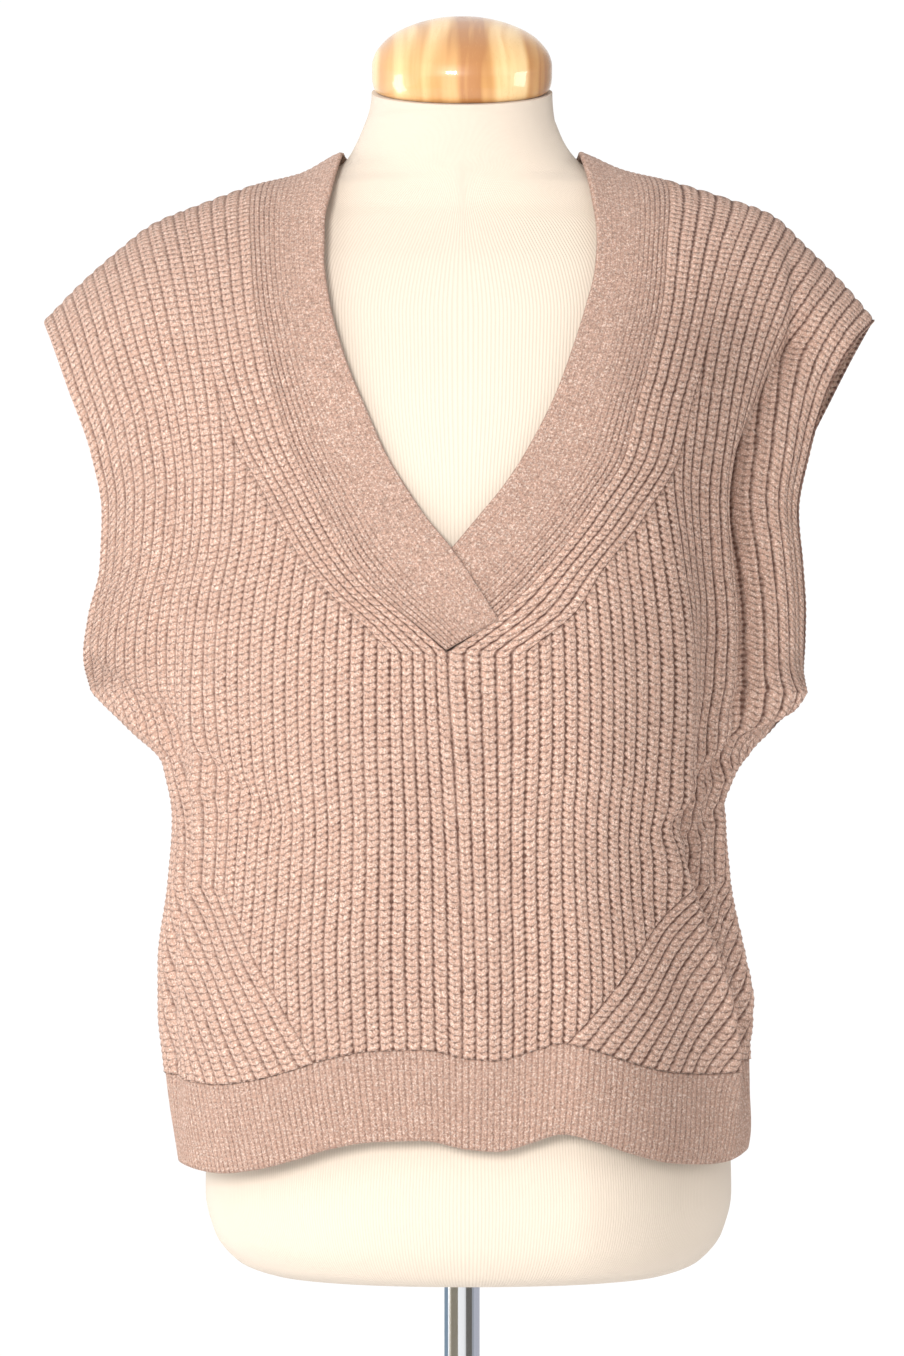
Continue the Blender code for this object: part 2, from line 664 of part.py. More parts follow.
def make_welt(side, feet):
    """The welt under a panel, with two fine ribs to each wide one."""
    wall = Wall(side, NARROW)
    wide = [a for a, b in zip(feet[0], feet[0][1:]) if b - a > LEAST_RIB / RIBS] + [feet[0][-1]]
    fine = sorted({*wide, *((a + b) / 2 for a, b in zip(wide, wide[1:]))})
    sheets = {}
    for sheet, shares in (("outer", fine), ("inner", feet[1])):
        lines = []
        for n, s in enumerate(shares):
            lift = WELT_WALL + (WELT_RISE if n % 2 else 0)
            lines.append([(s, v, lift) for v in (WELT_V, -GAP_V * INSIDE_GAP[sheet])])
        wall.sheet(sheet, 1, lines)
        sheets[sheet] = lines
    for end in (0, -1):
        wall.rim(False, *(signed(1, sheets[sheet][end]) for sheet in ("outer", "inner")))
        wall.rim(True, *(ends_of(1, sheets[sheet], end) for sheet in ("outer", "inner")))
    return wall


# Neck band

BAND_COLUMNS = {         # from the seam to the free edge
    FRONT: (0.007, 0.25, 0.5, 0.75, 1.0),
    BACK: (0.025, 0.25, 0.5, 0.75, 1.0),
}
RIGHT_START = (-0.0060, 1.1694)                # x and height of the lower end's corner
LAP_LIFT = BAND_WALL + 0.0012                  # the left end lies over the right one
LAP_FULL, LAP_DONE = 0.060, 0.105              # along the band from its left end
NEAR_SHOULDER, LAST_V = 1.99, 1.9995           # rows close under the shoulder line


def on_front(x, z):
    v = float(v_of(FRONT, x, z))
    return s_of(FRONT, x, v), v


def band_edge(half, shares):
    """Points of the free edge at shares of its length, as s and v."""
    table = np.array(BAND_EDGE[half])
    run = np.concatenate([[0], np.cumsum(np.hypot(*np.diff(table, axis=0).T))])
    run = run / run[-1]
    line = [(a, *b) for a, b in zip(run, table)]
    return [on_front(float(smooth(line, 2, at)), float(smooth(line, 1, at))) for at in shares]


def front_stations(half, half_front):
    """Seam and edge places of the band up one side of the V."""
    rows = [v for v in seam_rows_of(half_front, panel_rows(FRONT)) if v >= half_front.tip]
    rows[-1] = 2.0
    seam = [(half * half_front.seam_at(v), v) for v in rows]
    if half == RIGHT:
        seam[0] = on_front(*RIGHT_START)
    spots = np.array([cloth(FRONT, s, v, 0) for s, v in seam])
    run = np.concatenate([[0], np.cumsum(np.linalg.norm(np.diff(spots, axis=0), axis=1))])
    return seam, band_edge(half, run / run[-1]), run


def back_stations():
    """Seam and edge places round the back of the neck, at the lines of the back's inside."""
    found = []
    share_at = [(place[0], line[0]) for line, place in zip(BACK_NECK, neckline_places)]
    for s in back_shares(INNER_STEP):
        if not share_at[0][0] < s < share_at[-1][0]:
            continue
        at = float(smooth(share_at, 1, s))
        x, z = float(smooth(BACK_NECK, 3, at)), float(smooth(BACK_NECK, 4, at))
        v = float(v_of(BACK, x, z))
        found.append(((s, back_line_top(s)), (s_of(BACK, x, v), v)))
    return found


def band_ring(side, seam, edge, lift):
    """The closed cross-section of the band at one station."""
    start, end = (plain(side, *place) for place in (seam, edge))
    ring = []
    for part in BAND_COLUMNS[side]:
        x = start[0] + (end[0] - start[0]) * part
        z = start[2] + (end[2] - start[2]) * part
        z = min(z, float(shoulder_height(x)))
        v = float(v_of(side, x, z))
        if part == BAND_COLUMNS[side][0] and v < NEAR_SHOULDER:
            s, v = (a + (b - a) * part for a, b in zip(seam, edge))
        else:
            s = s_of(side, x, v)
        v = min(v, LAST_V)
        ring.append((cloth(side, s, v, lift), cloth(side, s, v, lift + BAND_WALL)))
    return [inner for inner, _ in ring] + [outer for _, outer in ring][::-1]


def make_band(halves):
    rings = []
    seam, edge, run = front_stations(LEFT, halves[LEFT])
    for a, b, far in zip(seam, edge, run):
        ease = min(max((far - LAP_FULL) / (LAP_DONE - LAP_FULL), 0), 1)
        rings.append(band_ring(FRONT, a, b, LAP_LIFT * (1 - ease * ease * (3 - 2 * ease))))
    rings += [band_ring(BACK, a, b, 0.0) for a, b in back_stations()]
    seam, edge, _ = front_stations(RIGHT, halves[RIGHT])
    rings += [band_ring(FRONT, a, b, 0.0) for a, b in zip(seam, edge)][::-1]
    return rings


def skin_rings(rings):
    """A closed skin round a row of closed rings, with its two ends filled."""
    points = [point for ring in rings for point in ring]
    size = len(rings[0])
    faces = []
    for n in range(len(rings) - 1):
        for k in range(size):
            a, b = n * size + k, n * size + (k + 1) % size
            faces += [(a, b, b + size), (a, b + size, a + size)]
    last = (len(rings) - 1) * size
    faces += [tuple(range(size)), tuple(range(last, last + size))]
    return points, faces


# Form

def form_ring(z, middle, half, front, back, square):
    ring = []
    for n in range(FORM_SIDES):
        turn = 2 * math.pi * n / FORM_SIDES
        across, deep = math.cos(turn), math.sin(turn)
        x = math.copysign(abs(across) ** (2 / square), across) * half + middle
        y = math.copysign(abs(deep) ** (2 / square), deep) * (back if deep > 0 else front)
        ring.append((x, y, z))
    return ring


def make_torso():
    rings = [form_ring(*line) for line in FORM_RINGS]
    tilt = math.tan(NECK_TILT)
    top = form_ring(0, 0, NECK_RADIUS, NECK_RADIUS, NECK_RADIUS, 2)
    rings.append([(x, y, NECK_TOP + y * tilt) for x, y, _ in top])
    return skin_rings(rings)


CAP_PROFILE = (         # radius, height over the neck's cut
    (0.0530, 0.0000), (0.0552, 0.0030), (0.0563, 0.0100), (0.0563, 0.0165), (0.0546, 0.0230),
    (0.0505, 0.0290), (0.0445, 0.0345), (0.0360, 0.0392), (0.0250, 0.0432), (0.0125, 0.0458),
)
CAP_TOP = 0.0468
CAP_SIDES = 40


def turned(profile, sides, tip=None):
    """A lathe-turned body from its bottom ring up; tip closes a dome at that height."""
    rings = [[(r * math.cos(2 * math.pi * n / sides), r * math.sin(2 * math.pi * n / sides), z)
              for n in range(sides)] for r, z in profile]
    points, faces = skin_rings(rings)
    if tip is not None:
        faces.pop()
        last = len(points) - sides
        points.append((0, 0, tip))
        faces += [(last + n, last + (n + 1) % sides, len(points) - 1) for n in range(sides)]
    return points, faces


def mesh_object(name, points, faces, colour, roughness, metallic=0.0):
    mesh = bpy.data.meshes.new(name)
    mesh.from_pydata([tuple(map(float, point)) for point in points], [], faces)
    build = bmesh.new()
    build.from_mesh(mesh)
    bmesh.ops.recalc_face_normals(build, faces=build.faces)
    if build.calc_volume(signed=True) < 0:
        bmesh.ops.reverse_faces(build, faces=build.faces)
    build.to_mesh(mesh)
    build.free()
    mesh.shade_smooth()
    mesh.set_sharp_from_angle(angle=math.radians(28))
    item = bpy.data.objects.new(name, mesh)
    bpy.context.scene.collection.objects.link(item)
    material = bpy.data.materials.new(name)
    material.use_nodes = True
    shader = material.node_tree.nodes["Principled BSDF"]
    shader.inputs["Base Color"].default_value = (*colour, 1)
    shader.inputs["Roughness"].default_value = roughness
    shader.inputs["Metallic"].default_value = metallic
    mesh.materials.append(material)
    return item


KNIT = (0.56, 0.37, 0.29)
JERSEY = (0.88, 0.80, 0.68)
WOOD = (0.72, 0.43, 0.17)
CHROME = (0.75, 0.76, 0.78)

neckline_places = neckline()
halves = {half: HalfFront(half) for half in (LEFT, RIGHT)}


def make_garment():
    for name, side in (("front", FRONT), ("back", BACK)):
        wall, feet = make_front(halves) if side == FRONT else make_back()
        mesh_object(name, wall.points, wall.faces, KNIT, 0.9)
        welt = make_welt(side, feet)
        mesh_object("hem_" + name, welt.points, welt.faces, KNIT, 0.9)
    mesh_object("neck_band", *skin_rings(make_band(halves)), KNIT, 0.9)


def make_form():
    mesh_object("form_torso", *make_torso(), JERSEY, 0.85)
    cap = mesh_object("neck_cap", *turned(CAP_PROFILE, CAP_SIDES, CAP_TOP), WOOD, 0.2)
    cap.location = (0, 0, NECK_TOP + SEAM_GAP)
    cap.rotation_euler = (NECK_TILT, 0, 0)
    pole = ((POLE_RADIUS, BASE_THICK + SEAM_GAP), (POLE_RADIUS, FORM_RINGS[0][0] - SEAM_GAP))
    mesh_object("pole", *turned(pole, 32), CHROME, 0.08, 1.0)
    wide, high, rim = BASE_RADIUS, BASE_THICK, BASE_RIM
    plate = ((wide - rim / 2, 0), (wide, rim / 2), (wide, high - rim), (wide - rim, high))
    mesh_object("base", *turned(plate, 64), CHROME, 0.15, 1.0)


make_garment()
make_form()
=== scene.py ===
import bpy
import bmesh
import json
import math
import numpy as np
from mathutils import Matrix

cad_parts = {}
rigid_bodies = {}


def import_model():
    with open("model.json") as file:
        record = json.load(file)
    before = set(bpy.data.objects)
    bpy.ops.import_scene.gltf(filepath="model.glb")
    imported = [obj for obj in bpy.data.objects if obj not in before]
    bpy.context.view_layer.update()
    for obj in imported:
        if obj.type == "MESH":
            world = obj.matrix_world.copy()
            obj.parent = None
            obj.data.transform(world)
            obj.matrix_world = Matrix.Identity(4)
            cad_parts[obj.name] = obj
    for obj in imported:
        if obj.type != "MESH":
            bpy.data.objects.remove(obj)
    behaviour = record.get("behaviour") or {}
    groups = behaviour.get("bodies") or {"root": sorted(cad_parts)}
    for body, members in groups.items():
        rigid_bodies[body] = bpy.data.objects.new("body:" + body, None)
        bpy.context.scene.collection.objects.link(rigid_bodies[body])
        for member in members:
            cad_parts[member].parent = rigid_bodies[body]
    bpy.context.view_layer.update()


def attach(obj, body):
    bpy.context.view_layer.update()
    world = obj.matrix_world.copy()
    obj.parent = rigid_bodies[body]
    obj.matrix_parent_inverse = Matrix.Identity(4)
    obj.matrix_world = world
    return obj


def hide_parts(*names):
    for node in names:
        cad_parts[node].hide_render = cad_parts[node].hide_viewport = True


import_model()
front, back = -1, 1
left, right = -1, 1
print("frame loaded")


# the photograph's view
view = {
    "eye": (-0.00625, -2.8, 1.152),
    "height": 1356 * 0.000625,      # what the picture spans at the object, top to bottom
    "sensor": 36.0,
}


def setCamera():
    lens = bpy.data.cameras.new("view")
    lens.sensor_fit = "VERTICAL"
    lens.sensor_height = view["sensor"]
    lens.lens = view["sensor"] * -view["eye"][1] / view["height"]
    camera = bpy.data.objects.new("view", lens)
    camera.location = view["eye"]
    camera.rotation_euler = (math.pi / 2, 0, 0)
    bpy.context.scene.collection.objects.link(camera)
    bpy.context.scene.camera = camera


def smooth(table, column, at):
    # a column of a table, along a curve that never overshoots it
    x = np.array([line[0] for line in table])
    y = np.array([line[column] for line in table])
    step = np.diff(x)
    rise = np.diff(y) / step
    slope = np.zeros(len(x))
    same = rise[:-1] * rise[1:] > 0
    slope[1:-1] = np.where(same, 2 * rise[:-1] * rise[1:] / np.where(same, rise[:-1] + rise[1:], 1), 0)
    slope[0], slope[-1] = rise[0], rise[-1]
    at = np.clip(np.asarray(at, float), x[0], x[-1])
    i = np.clip(np.searchsorted(x, at) - 1, 0, len(step) - 1)
    t = (at - x[i]) / step[i]
    return (
        y[i] * (1 + 2 * t) * (1 - t) ** 2
        + slope[i] * step[i] * t * (1 - t) ** 2
        + y[i + 1] * t * t * (3 - 2 * t)
        - slope[i + 1] * step[i] * t * t * (1 - t)
    )


# the smooth surface that the pullover's cloth lies on
garment = {
    "weltBottom": 0.874, "weltTop": 0.928, "underarm": 1.145, "shoulderY": 0.008,
    "halfRow": 0.26,                 # from the centre of a panel to its side, about
    "ribs": 33,                      # wide ribs from the centre to the side of a panel
    "stitch": 0.0042,                # height of one row of stitches
    "topRound": {front: 2.1, back: 3.0},
    # height, half width left, half width right, depth front, depth back, squareness
    "rings": (
        (0.860, 0.172, 0.173, 0.130, 0.119, 2.4), (0.885, 0.176, 0.177, 0.132, 0.120, 2.4),
        (0.910, 0.180, 0.175, 0.134, 0.120, 2.4), (0.935, 0.183, 0.173, 0.136, 0.120, 2.4),
        (0.960, 0.186, 0.174, 0.139, 0.120, 2.4), (0.985, 0.186, 0.169, 0.142, 0.120, 2.4),
        (1.030, 0.180, 0.160, 0.145, 0.120, 2.3), (1.070, 0.177, 0.158, 0.148, 0.120, 2.2),
        (1.100, 0.181, 0.168, 0.150, 0.121, 2.0), (1.120, 0.203, 0.189, 0.151, 0.122, 1.8),
        (1.145, 0.229, 0.210, 0.151, 0.122, 1.65),
    ),
    # height, left front, right front, left back, right back
    "armholes": (
        (1.145, 0.229, 0.210, 0.229, 0.210), (1.163, 0.232, 0.209, 0.228, 0.208),
        (1.190, 0.228, 0.209, 0.221, 0.206), (1.219, 0.2205, 0.207, 0.215, 0.205),
        (1.253, 0.219, 0.204, 0.211, 0.205), (1.290, 0.226, 0.211, 0.216, 0.215),
        (1.330, 0.241, 0.224, 0.232, 0.234), (1.360, 0.253, 0.242, 0.247, 0.249),
        (1.374, 0.260, 0.256, 0.260, 0.256),
    ),
    "armholeGuess": 0.23, "armholeTries": 30,
    "gape": ((0.0, 0.0), (0.1, 0.20), (0.3, 0.33), (0.6, 0.40), (0.85, 0.42), (1.0, 0.30)),
    # distance from the centre, height left, height right
    "shoulder": (
        (0.000, 1.489, 1.489), (0.045, 1.486, 1.486), (0.072, 1.4800, 1.4795),
        (0.100, 1.4655, 1.4675), (0.129, 1.4580, 1.4605), (0.164, 1.4455, 1.4500),
        (0.192, 1.4340, 1.4400), (0.213, 1.4180, 1.4210), (0.238, 1.3960, 1.3960),
        (0.260, 1.3735, 1.3700),
    ),
    # x, rise of the hem in front, behind
    "hemWave": (
        (-0.185, -0.020, -0.020), (-0.150, -0.0215, -0.014), (-0.125, -0.0175, -0.008),
        (-0.100, -0.0100, -0.004), (-0.080, -0.0030, -0.001), (-0.053, 0.0020, 0.002),
        (-0.022, 0.0030, 0.000), (0.002, -0.0020, -0.004), (0.022, -0.0035, -0.003),
        (0.040, 0.0010, 0.001), (0.059, 0.0065, 0.003), (0.080, 0.0015, 0.000),
        (0.100, -0.0060, -0.004), (0.127, -0.0135, -0.009), (0.155, -0.0160, -0.013),
        (0.180, -0.0120, -0.012),
    ),
    # side, s and height at the lower end, s and height at the upper end, half width, rise
    "folds": (
        (front, 0.685, 0.945, 0.57, 1.02, 0.015, 0.01), (front, 0.55, 1.09, 0.53, 1.2, 0.016, 0.006),
        (front, 0.81, 0.965, 0.7, 1.035, 0.015, -0.013), (front, 0.66, 1.095, 0.65, 1.15, 0.015, -0.008),
        (front, 0.93, 0.95, 0.84, 1.06, 0.012, 0.005), (front, 0.66, 1.095, 0.95, 1.145, 0.012, 0.005),
        (front, 0.62, 1.072, 0.93, 1.12, 0.012, -0.005), (front, 0.8, 1.145, 0.805, 1.235, 0.011, -0.013),
        (front, 0.83, 1.3, 0.86, 1.345, 0.013, -0.01), (front, 0.91, 1.15, 0.92, 1.27, 0.012, 0.004),
        (front, 0.14, 0.92, 0.09, 1.12, 0.018, -0.004), (front, -0.8, 0.955, -0.77, 1.085, 0.014, -0.007),
        (front, -0.68, 1.01, -0.66, 1.105, 0.014, 0.006), (front, -0.55, 1.080, -0.9, 1.14, 0.016, -0.004),
        (front, -0.76, 1.16, -0.8, 1.3, 0.02, -0.003), (back, -0.7, 0.96, -0.6, 1.11, 0.018, -0.009),
        (back, -0.48, 0.93, -0.42, 1.12, 0.02, 0.005), (back, -0.88, 0.955, -0.86, 1.04, 0.014, 0.005),
        (back, 0.68, 0.965, 0.6, 1.11, 0.018, -0.009), (back, 0.46, 0.93, 0.42, 1.12, 0.02, 0.005),
        (back, -0.55, 1.09, -0.9, 1.15, 0.016, -0.005), (back, 0.55, 1.09, 0.9, 1.15, 0.016, -0.005),
    ),
    # finer creases of the soft cloth, in the same columns
    "creases": (
        (front, 0.79, 0.955, 0.68, 1.04, 0.0045, -0.0045), (front, 0.69, 0.945, 0.575, 1.02, 0.005, 0.003),
        (front, 0.64, 1.083, 0.95, 1.133, 0.0045, -0.003), (front, 0.66, 1.068, 0.92, 1.108, 0.0045, 0.0028),
        (front, 0.70, 1.055, 0.9, 1.085, 0.0045, -0.0028), (front, 0.8, 1.145, 0.805, 1.24, 0.004, -0.005),
        (front, 0.83, 1.3, 0.865, 1.345, 0.005, -0.0045), (front, 0.855, 1.37, 0.78, 1.405, 0.006, -0.004),
        (front, 0.86, 0.975, 0.79, 1.07, 0.006, -0.003), (front, 0.7, 1.15, 0.66, 1.26, 0.01, -0.0022),
        (front, 0.73, 1.085, 0.70, 1.21, 0.022, -0.0055), (front, 0.565, 1.10, 0.56, 1.22, 0.010, 0.0028),
        (front, -0.6, 1.098, -0.92, 1.155, 0.005, -0.003), (front, -0.6, 1.08, -0.92, 1.128, 0.005, 0.0025),
        (front, -0.665, 1.03, -0.655, 1.1, 0.005, 0.0025), (front, -0.83, 0.96, -0.8, 1.06, 0.005, -0.003),
        (front, 0.06, 0.94, 0.09, 1.06, 0.009, 0.0015), (front, 0.3, 0.93, 0.27, 1.01, 0.01, 0.0018),
        (front, -0.3, 0.925, -0.25, 0.99, 0.01, 0.0015), (front, -0.72, 1.19, -0.78, 1.3, 0.012, -0.0022),
        (back, 0.6, 1.095, 0.9, 1.15, 0.007, -0.0028), (back, -0.62, 1.09, -0.9, 1.15, 0.007, -0.0028),
        (back, 0.2, 0.925, 0.16, 1.03, 0.012, 0.002), (back, -0.16, 0.93, -0.2, 1.06, 0.012, -0.002),
        (back, -0.8, 1.18, -0.76, 1.32, 0.012, -0.0028), (back, 0.82, 1.19, 0.76, 1.33, 0.012, -0.0025),
    ),
    "foldStop": 1.70, "foldGone": 1.92,
    "foldTop": 1.43,                 # height that the fold tables take the shoulder for
    "foldStray": 0.4,                # share of its length by which a fold goes on in its own direction
    "foldFade": 0.045, "foldEdge": 0.93,
    "evenTop": 0.30,                 # shoulder over underarm, about
    # the cloth is eased round the bend at the underarm, by averaging rows
    "easeReach": 0.055, "easeSteps": (-1.0, -0.7, -0.45, -0.22, 0.0, 0.22, 0.45, 0.7, 1.0),
    "easeFull": 0.045, "easeGone": 0.100, "easeEdge": 8,
    # how finely the surface is worked out: rows below the underarm, above it and over the shoulder
    "lowRows": 240, "risingRows": (0.9, 150), "turningRows": (0.7, 170), "columns": 481, "rowPoints": 401,
}
weltV = (garment["weltBottom"] - garment["weltTop"]) / (garment["underarm"] - garment["weltTop"])


def gradual(part):
    # from 0 to 1, slow at both ends
    part = np.clip(part, 0, 1)
    return part * part * (3 - 2 * part)


def shoulderHeight(x):
    heights = [smooth(garment["shoulder"], column, np.abs(x)) for column in (1, 2)]
    return np.where(x < 0, *heights)


def runAlong(points):
    # how far along a row of points each one lies
    return np.concatenate([[0], np.cumsum(np.linalg.norm(np.diff(points, axis=0), axis=-1))])


def riseAndDepth(side, v):
    turn = np.clip(v - 1, 0, 1) * math.pi / 2
    power = 2 / garment["topRound"][side]
    return np.sin(turn) ** power, np.cos(turn) ** power


def armholeX(side, half, up):
    column = {(front, left): 1, (front, right): 2, (back, left): 3, (back, right): 4}[side, half]
    x = garment["armholeGuess"]
    for _ in range(garment["armholeTries"]):
        z = garment["underarm"] + (shoulderHeight(half * x) - garment["underarm"]) * up
        x = 0.5 * x + 0.5 * float(smooth(garment["armholes"], column, z))
    return x


class Surface:
    # one panel's smooth surface, worked out once on a fine grid; s runs across it, v up it
    def __init__(self, side):
        self.side = side
        power = garment["topRound"][side] / 2
        (riseEnd, risingRows), (turnStart, turningRows) = garment["risingRows"], garment["turningRows"]
        low = np.linspace(weltV * 1.02, 1, garment["lowRows"])
        rising = 1 + np.arcsin(np.linspace(0, riseEnd, risingRows) ** power) * 2 / math.pi
        turning = 1 + np.arccos(np.linspace(turnStart, 0, turningRows) ** power) * 2 / math.pi
        self.v = np.unique(np.round(np.concatenate([low, rising, turning]), 7))
        self.s = np.linspace(-1, 1, garment["columns"])
        self.points = self.eased(np.array([self.row(v) for v in self.v]))
        across = np.gradient(self.points, self.s, axis=1)
        upwards = np.gradient(self.points, self.v, axis=0)
        normals = -side * np.cross(across, upwards)
        self.normals = normals / np.linalg.norm(normals, axis=2, keepdims=True)
        steps = np.linalg.norm(np.diff(self.points, axis=0), axis=2)
        length = np.concatenate([np.zeros((1, len(self.s))), np.cumsum(steps, axis=0)])
        foot = np.array([np.interp(0, self.v, column) for column in length.T])
        self.course = (length - foot) / garment["stitch"]

    def eased(self, points):
        # the rows near the underarm, averaged with those above and below
        under, top = garment["underarm"], garment["evenTop"]
        z = np.where(self.v > 1, under + top * riseAndDepth(self.side, self.v)[0],
                     garment["weltTop"] + (under - garment["weltTop"]) * self.v)
        fading = (np.abs(z - under) - garment["easeFull"]) / (garment["easeGone"] - garment["easeFull"])
        near = gradual(1 - fading)
        share = near[:, None] * (1 - np.abs(self.s) ** garment["easeEdge"]) ** 2
        total = np.zeros_like(points)
        for part in garment["easeSteps"]:
            rows = np.repeat(self.rowAt(z + part * garment["easeReach"]), len(self.s))
            total += self.read(points, np.tile(self.s, len(z)), rows).reshape(points.shape)
        return points + (total / len(garment["easeSteps"]) - points) * share[:, :, None]

    def rowAt(self, z):
        under = garment["underarm"]
        up = np.clip((z - under) / garment["evenTop"], 0, 1)
        low = (z - garment["weltTop"]) / (under - garment["weltTop"])
        high = 1 + np.arcsin(up ** (garment["topRound"][self.side] / 2)) * 2 / math.pi
        return np.where(z > under, high, low)

    def row(self, v):
        up, leftOver = riseAndDepth(self.side, v)
        rings = garment["rings"]
        z = garment["weltTop"] + (garment["underarm"] - garment["weltTop"]) * min(v, 1)
        widths = [float(smooth(rings, column, z)) for column in (1, 2)]
        depth = float(smooth(rings, 3 if self.side == front else 4, z))
        square = float(smooth(rings, 5, z))
        gape = float(smooth(garment["gape"], 1, up)) if v > 1 else 0.0
        ends = (1 - gape ** square) ** (1 / square)
        if v > 1:
            widths = [armholeX(self.side, half, up) / ends for half in (left, right)]
        last = math.acos(ends ** (square / 2))
        turn = np.linspace(last, math.pi - last, garment["rowPoints"])
        x = -np.sign(np.cos(turn)) * np.abs(np.cos(turn)) ** (2 / square)
        x = x * np.where(x < 0, widths[0], widths[1])
        y = self.side * depth * np.sin(turn) ** (2 / square)
        fade = 1.0 if v < 0 else max(0.0, 1 - v) ** 2
        height = z + smooth(garment["hemWave"], 1 if self.side == front else 2, x) * fade
        if v > 1:
            y = garment["shoulderY"] * (1 - leftOver) + y * leftOver
            height = garment["underarm"] + (shoulderHeight(x) - garment["underarm"]) * up
        points = np.stack([x, y, height], 1)
        run = runAlong(points)
        middle = np.interp(0, x, run)
        s = np.where(run < middle, run / middle - 1, (run - middle) / (run[-1] - middle))
        return np.stack([np.interp(self.s, s, points[:, axis]) for axis in range(3)], 1)

    def read(self, table, s, v):
        s, v = np.clip(s, -1, 1), np.clip(v, self.v[0], self.v[-1])
        i = np.clip(np.searchsorted(self.v, v) - 1, 0, len(self.v) - 2)
        t = (v - self.v[i]) / (self.v[i + 1] - self.v[i])
        place = (s + 1) / 2 * (len(self.s) - 1)
        j = np.clip(place.astype(int), 0, len(self.s) - 2)
        u = place - j
        if table.ndim == 3:
            t, u = t[:, None], u[:, None]
        lower = table[i, j] * (1 - u) + table[i, j + 1] * u
        return lower * (1 - t) + (table[i + 1, j] * (1 - u) + table[i + 1, j + 1] * u) * t

    def foldRise(self, s, v):
        under, halfRow, stray = garment["underarm"], garment["halfRow"], garment["foldStray"]
        z = garment["weltTop"] + (under - garment["weltTop"]) * np.minimum(v, 1)
        z = np.where(v > 1, under + (garment["foldTop"] - under) * riseAndDepth(self.side, v)[0], z)
        total = np.zeros(len(s))
        for side, s0, z0, s1, z1, width, rise in garment["folds"] + garment["creases"]:
            if side != self.side:
                continue
            along = (z - z0) / (z1 - z0)
            middle = s0 + (s1 - s0) * np.clip(along, -stray, 1 + stray)
            slant = abs(s1 - s0) * halfRow / (z1 - z0)
            across = (s - middle) * halfRow / math.hypot(1, slant)
            length = math.hypot(z1 - z0, (s1 - s0) * halfRow)
            past = np.maximum(0, np.maximum(-along, along - 1)) * length / garment["foldFade"]
            total += rise * np.exp(-((across / width) ** 2) - past**2)
        edge = np.maximum(0, (np.abs(s) - garment["foldEdge"]) / (1 - garment["foldEdge"]))
        high = np.clip((v - garment["foldStop"]) / (garment["foldGone"] - garment["foldStop"]), 0, 1)
        return total * (1 - edge * edge) * (1 - high) ** 2 * (1 + 2 * high)

    def cloth(self, s, v, off):
        # points so far outside the plain inside of the cloth
        lift = off + self.foldRise(s, v)
        return self.read(self.points, s, v) + self.read(self.normals, s, v) * np.asarray(lift)[:, None]

    def vOf(self, x, z):
        up = np.clip((z - garment["underarm"]) / (shoulderHeight(x) - garment["underarm"]), 0, 1)
        return 1 + np.arcsin(up ** (garment["topRound"][self.side] / 2)) * 2 / math.pi

    def sOf(self, x, v):
        x, v = np.atleast_1d(x), np.atleast_1d(v)
        i = np.clip(np.searchsorted(self.v, v) - 1, 0, len(self.v) - 2)
        t = (v - self.v[i]) / (self.v[i + 1] - self.v[i])
        below, above = (np.array([np.interp(a, self.points[k, :, 0], self.s) for a, k in zip(x, rows)])
                        for rows in (i, i + 1))
        return below * (1 - t) + above * t


print("working out the cloth's surface")
surfaces = {side: Surface(side) for side in (front, back)}


panel = {
    "wall": 0.0022,            # plain inside to the furrows
    "deeper": 0.0005,          # furrows cut deeper here than in the plain frame
    "rise": 0.0020,            # furrow to rib top
    "roundness": 0.55,         # power of the rib's cross-section, small is squarer
    "columns": 5,              # mesh lines in each rib
    "innerStep": 1.0, "innerPace": 0.35,    # the plain inside's mesh, in ribs and in points a stitch
    "foot": 0.0006,            # row where the panels start, above the welt
    "topGap": 0.0025,
    "vee": 0.34,               # how far a stitch's arms reach up beside its middle, in stitches
    "stitchRise": 0.00026,
    "vRibs": 5,
    # height, width of the ribs beside the neck, left and right
    "vSpan": ((1.1665, 0.0343, 0.0468), (1.1900, 0.0310, 0.0440), (1.2150, 0.030, 0.036),
              (1.3200, 0.034, 0.034), (1.4600, 0.035, 0.035)),
    # fashioned line at the lower corners: height, x left, x right
    "corner": ((0.928, 0.088, 0.062), (0.965, 0.108, 0.088), (1.000, 0.128, 0.110), (1.030, 0.142, 0.128)),
    "cornerSpread": 1.25,
    "leastLine": 0.06, "leastRib": 0.3,     # lower lines and narrower ribs are left out
    "edge": 0.0009,            # the armhole edges bead out by this much
    "flatTop": (1.45, 1.95, 0.45),    # from and to which height the ribs flatten, and by how much
}
